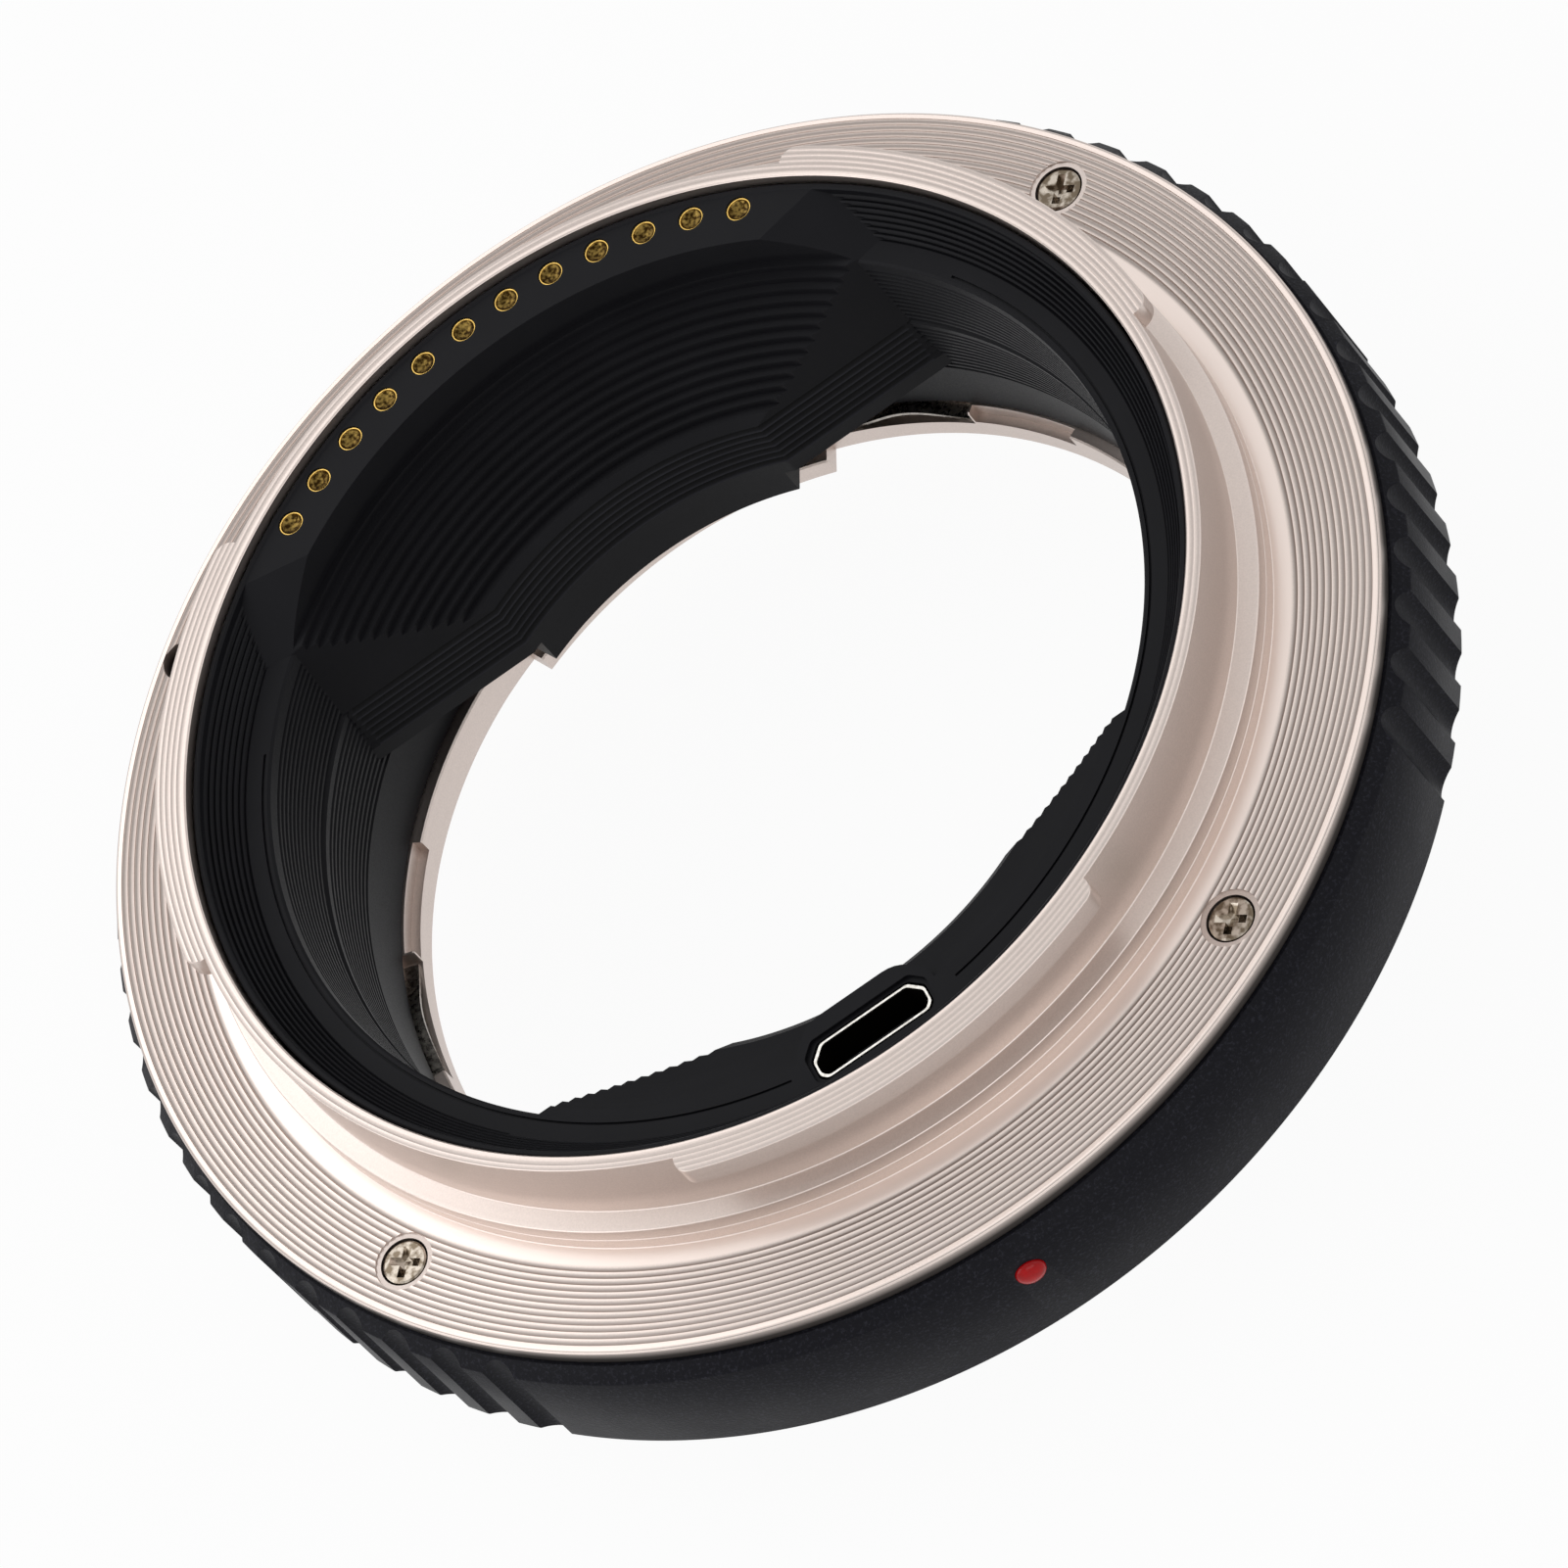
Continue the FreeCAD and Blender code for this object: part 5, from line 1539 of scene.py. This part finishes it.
def soft_light(name, lamp_place, width, height, power):
    """A large soft rectangle of light aimed at the object."""
    data = bpy.data.lights.new(name, "AREA")
    data.shape = "RECTANGLE"
    data.size = width
    data.size_y = height
    data.energy = power
    lamp = add_object(name, data)
    lamp.location = lamp_place
    lamp.rotation_mode = "QUATERNION"
    lamp.rotation_quaternion = (Vector(AIM) - Vector(lamp_place)).to_track_quat("-Z", "Y")


def studio_world():
    """An even fill for the object; the camera and what the object mirrors are plain white."""
    world = bpy.data.worlds.new("white_studio")
    tree = empty_tree(world)
    fill, white = [add_node(tree, "ShaderNodeBackground",
                            inputs={"Color": linear("#FFFFFF"), "Strength": strength})
                   for strength in (FILL, 1.0)]
    mix = add_node(tree, "ShaderNodeMixShader",
                   inputs={0: seen_rays(tree), 1: fill.outputs[0], 2: white.outputs[0]})
    add_node(tree, "ShaderNodeOutputWorld", inputs={"Surface": mix.outputs[0]})
    bpy.context.scene.world = world


def paper_floor():
    """A white floor just under the lowest point of the object."""
    low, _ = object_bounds()
    half = FLOOR_HALF
    ground = low.z - FLOOR_GAP
    mesh = bpy.data.meshes.new("paper_floor")
    corners = [(x, y, ground) for x, y in rectangle(-half, -half, half, half)]
    mesh.from_pydata(corners, [], [range(4)])
    mesh.materials.append(white_floor())
    floor = add_object("paper_floor", mesh)
    floor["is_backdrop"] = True


def product_camera():
    """The camera at the photograph's viewing angle."""
    data = bpy.data.cameras.new("product_camera")
    data.lens = CAMERA_LENS
    data.sensor_width = SENSOR
    data.clip_start, data.clip_end = CLIP
    camera = add_object("product_camera", data)
    axes = Matrix((CAMERA_RIGHT, CAMERA_UP, CAMERA_BACK)).transposed()
    camera.matrix_world = Matrix.Translation(CAMERA_PLACE) @ axes.to_4x4()
    bpy.context.scene.camera = camera


def build_stage():
    """Floor, world, lamps and camera."""
    paper_floor()
    studio_world()
    for name, settings in LAMPS.items():
        soft_light(name, *settings)
    product_camera()
    bpy.context.scene.view_settings.view_transform = "Standard"


# Operators

class ADAPTER_OT_housing(bpy.types.Operator):
    """Builds the fluted housing ring"""
    bl_idname = "adapter.housing"
    bl_label = "Housing"

    def execute(self, context):
        build_housing()
        return {"FINISHED"}


class ADAPTER_OT_rear_mount(bpy.types.Operator):
    """Builds the camera side's bayonet with its screws"""
    bl_idname = "adapter.rear_mount"
    bl_label = "Camera bayonet"

    def execute(self, context):
        build_rear_mount()
        build_rear_screws()
        return {"FINISHED"}


class ADAPTER_OT_baffle(bpy.types.Operator):
    """Builds the light baffle"""
    bl_idname = "adapter.baffle"
    bl_label = "Light baffle"

    def execute(self, context):
        build_baffle()
        return {"FINISHED"}


class ADAPTER_OT_contacts(bpy.types.Operator):
    """Builds the contacts of both sides"""
    bl_idname = "adapter.contacts"
    bl_label = "Contacts"

    def execute(self, context):
        build_rear_contacts()
        build_lens_contact_block()
        build_front_contacts()
        return {"FINISHED"}


class ADAPTER_OT_socket(bpy.types.Operator):
    """Builds the data socket"""
    bl_idname = "adapter.socket"
    bl_label = "Data socket"

    def execute(self, context):
        build_socket()
        return {"FINISHED"}


class ADAPTER_OT_front_mount(bpy.types.Operator):
    """Builds the lens side's bayonet with its springs and screws"""
    bl_idname = "adapter.front_mount"
    bl_label = "Lens bayonet"

    def execute(self, context):
        build_front_mount()
        build_bayonet_springs()
        build_front_screws()
        return {"FINISHED"}


class ADAPTER_OT_release(bpy.types.Operator):
    """Finishes the lens release"""
    bl_idname = "adapter.release"
    bl_label = "Lens release"

    def execute(self, context):
        build_release()
        build_release_spring()
        return {"FINISHED"}


class ADAPTER_OT_marks(bpy.types.Operator):
    """Builds the red index marks"""
    bl_idname = "adapter.marks"
    bl_label = "Index marks"

    def execute(self, context):
        build_marks()
        return {"FINISHED"}


class ADAPTER_OT_electronics(bpy.types.Operator):
    """Finishes the circuit board and its ribbons"""
    bl_idname = "adapter.electronics"
    bl_label = "Circuit board"

    def execute(self, context):
        build_electronics()
        return {"FINISHED"}


class ADAPTER_OT_stage(bpy.types.Operator):
    """Builds the floor, the lights and the camera"""
    bl_idname = "adapter.stage"
    bl_label = "Stage"

    def execute(self, context):
        build_stage()
        return {"FINISHED"}


OPERATORS = (ADAPTER_OT_housing, ADAPTER_OT_rear_mount, ADAPTER_OT_baffle, ADAPTER_OT_contacts,
             ADAPTER_OT_socket, ADAPTER_OT_front_mount, ADAPTER_OT_release, ADAPTER_OT_marks,
             ADAPTER_OT_electronics, ADAPTER_OT_stage)
GROUPS = {"adapter_housing": AdapterHousing, "adapter_plate": AdapterPlate,
          "adapter_baffle": AdapterBaffle, "adapter_look": AdapterLook}


class ADAPTER_PT_sidebar(bpy.types.Panel):
    """Lists the adapter's pieces and sizes"""
    bl_idname = "ADAPTER_PT_sidebar"
    bl_label = "Lens mount adapter"
    bl_space_type = "VIEW_3D"
    bl_region_type = "UI"
    bl_category = "Adapter"

    def draw(self, context):
        for name, group in GROUPS.items():
            box = self.layout.box()
            for field in group.__annotations__:
                box.prop(getattr(context.scene, name), field)
        for operator in OPERATORS:
            self.layout.operator(operator.bl_idname)


def register():
    """Registers the sizes, the operators and the panel."""
    for group in GROUPS.values():
        bpy.utils.register_class(group)
    for name, group in GROUPS.items():
        setattr(bpy.types.Scene, name, PointerProperty(type=group))
    for operator in OPERATORS:
        bpy.utils.register_class(operator)
    bpy.utils.register_class(ADAPTER_PT_sidebar)


def unregister():
    """Takes back what register has done."""
    bpy.utils.unregister_class(ADAPTER_PT_sidebar)
    for operator in reversed(OPERATORS):
        bpy.utils.unregister_class(operator)
    for name in GROUPS:
        delattr(bpy.types.Scene, name)
    for group in reversed(list(GROUPS.values())):
        bpy.utils.unregister_class(group)


def main():
    """Runs every operator in order."""
    register()
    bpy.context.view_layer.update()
    for operator in OPERATORS:
        group, action = operator.bl_idname.split(".")
        getattr(getattr(bpy.ops, group), action)()


if __name__ == "__main__":
    main()
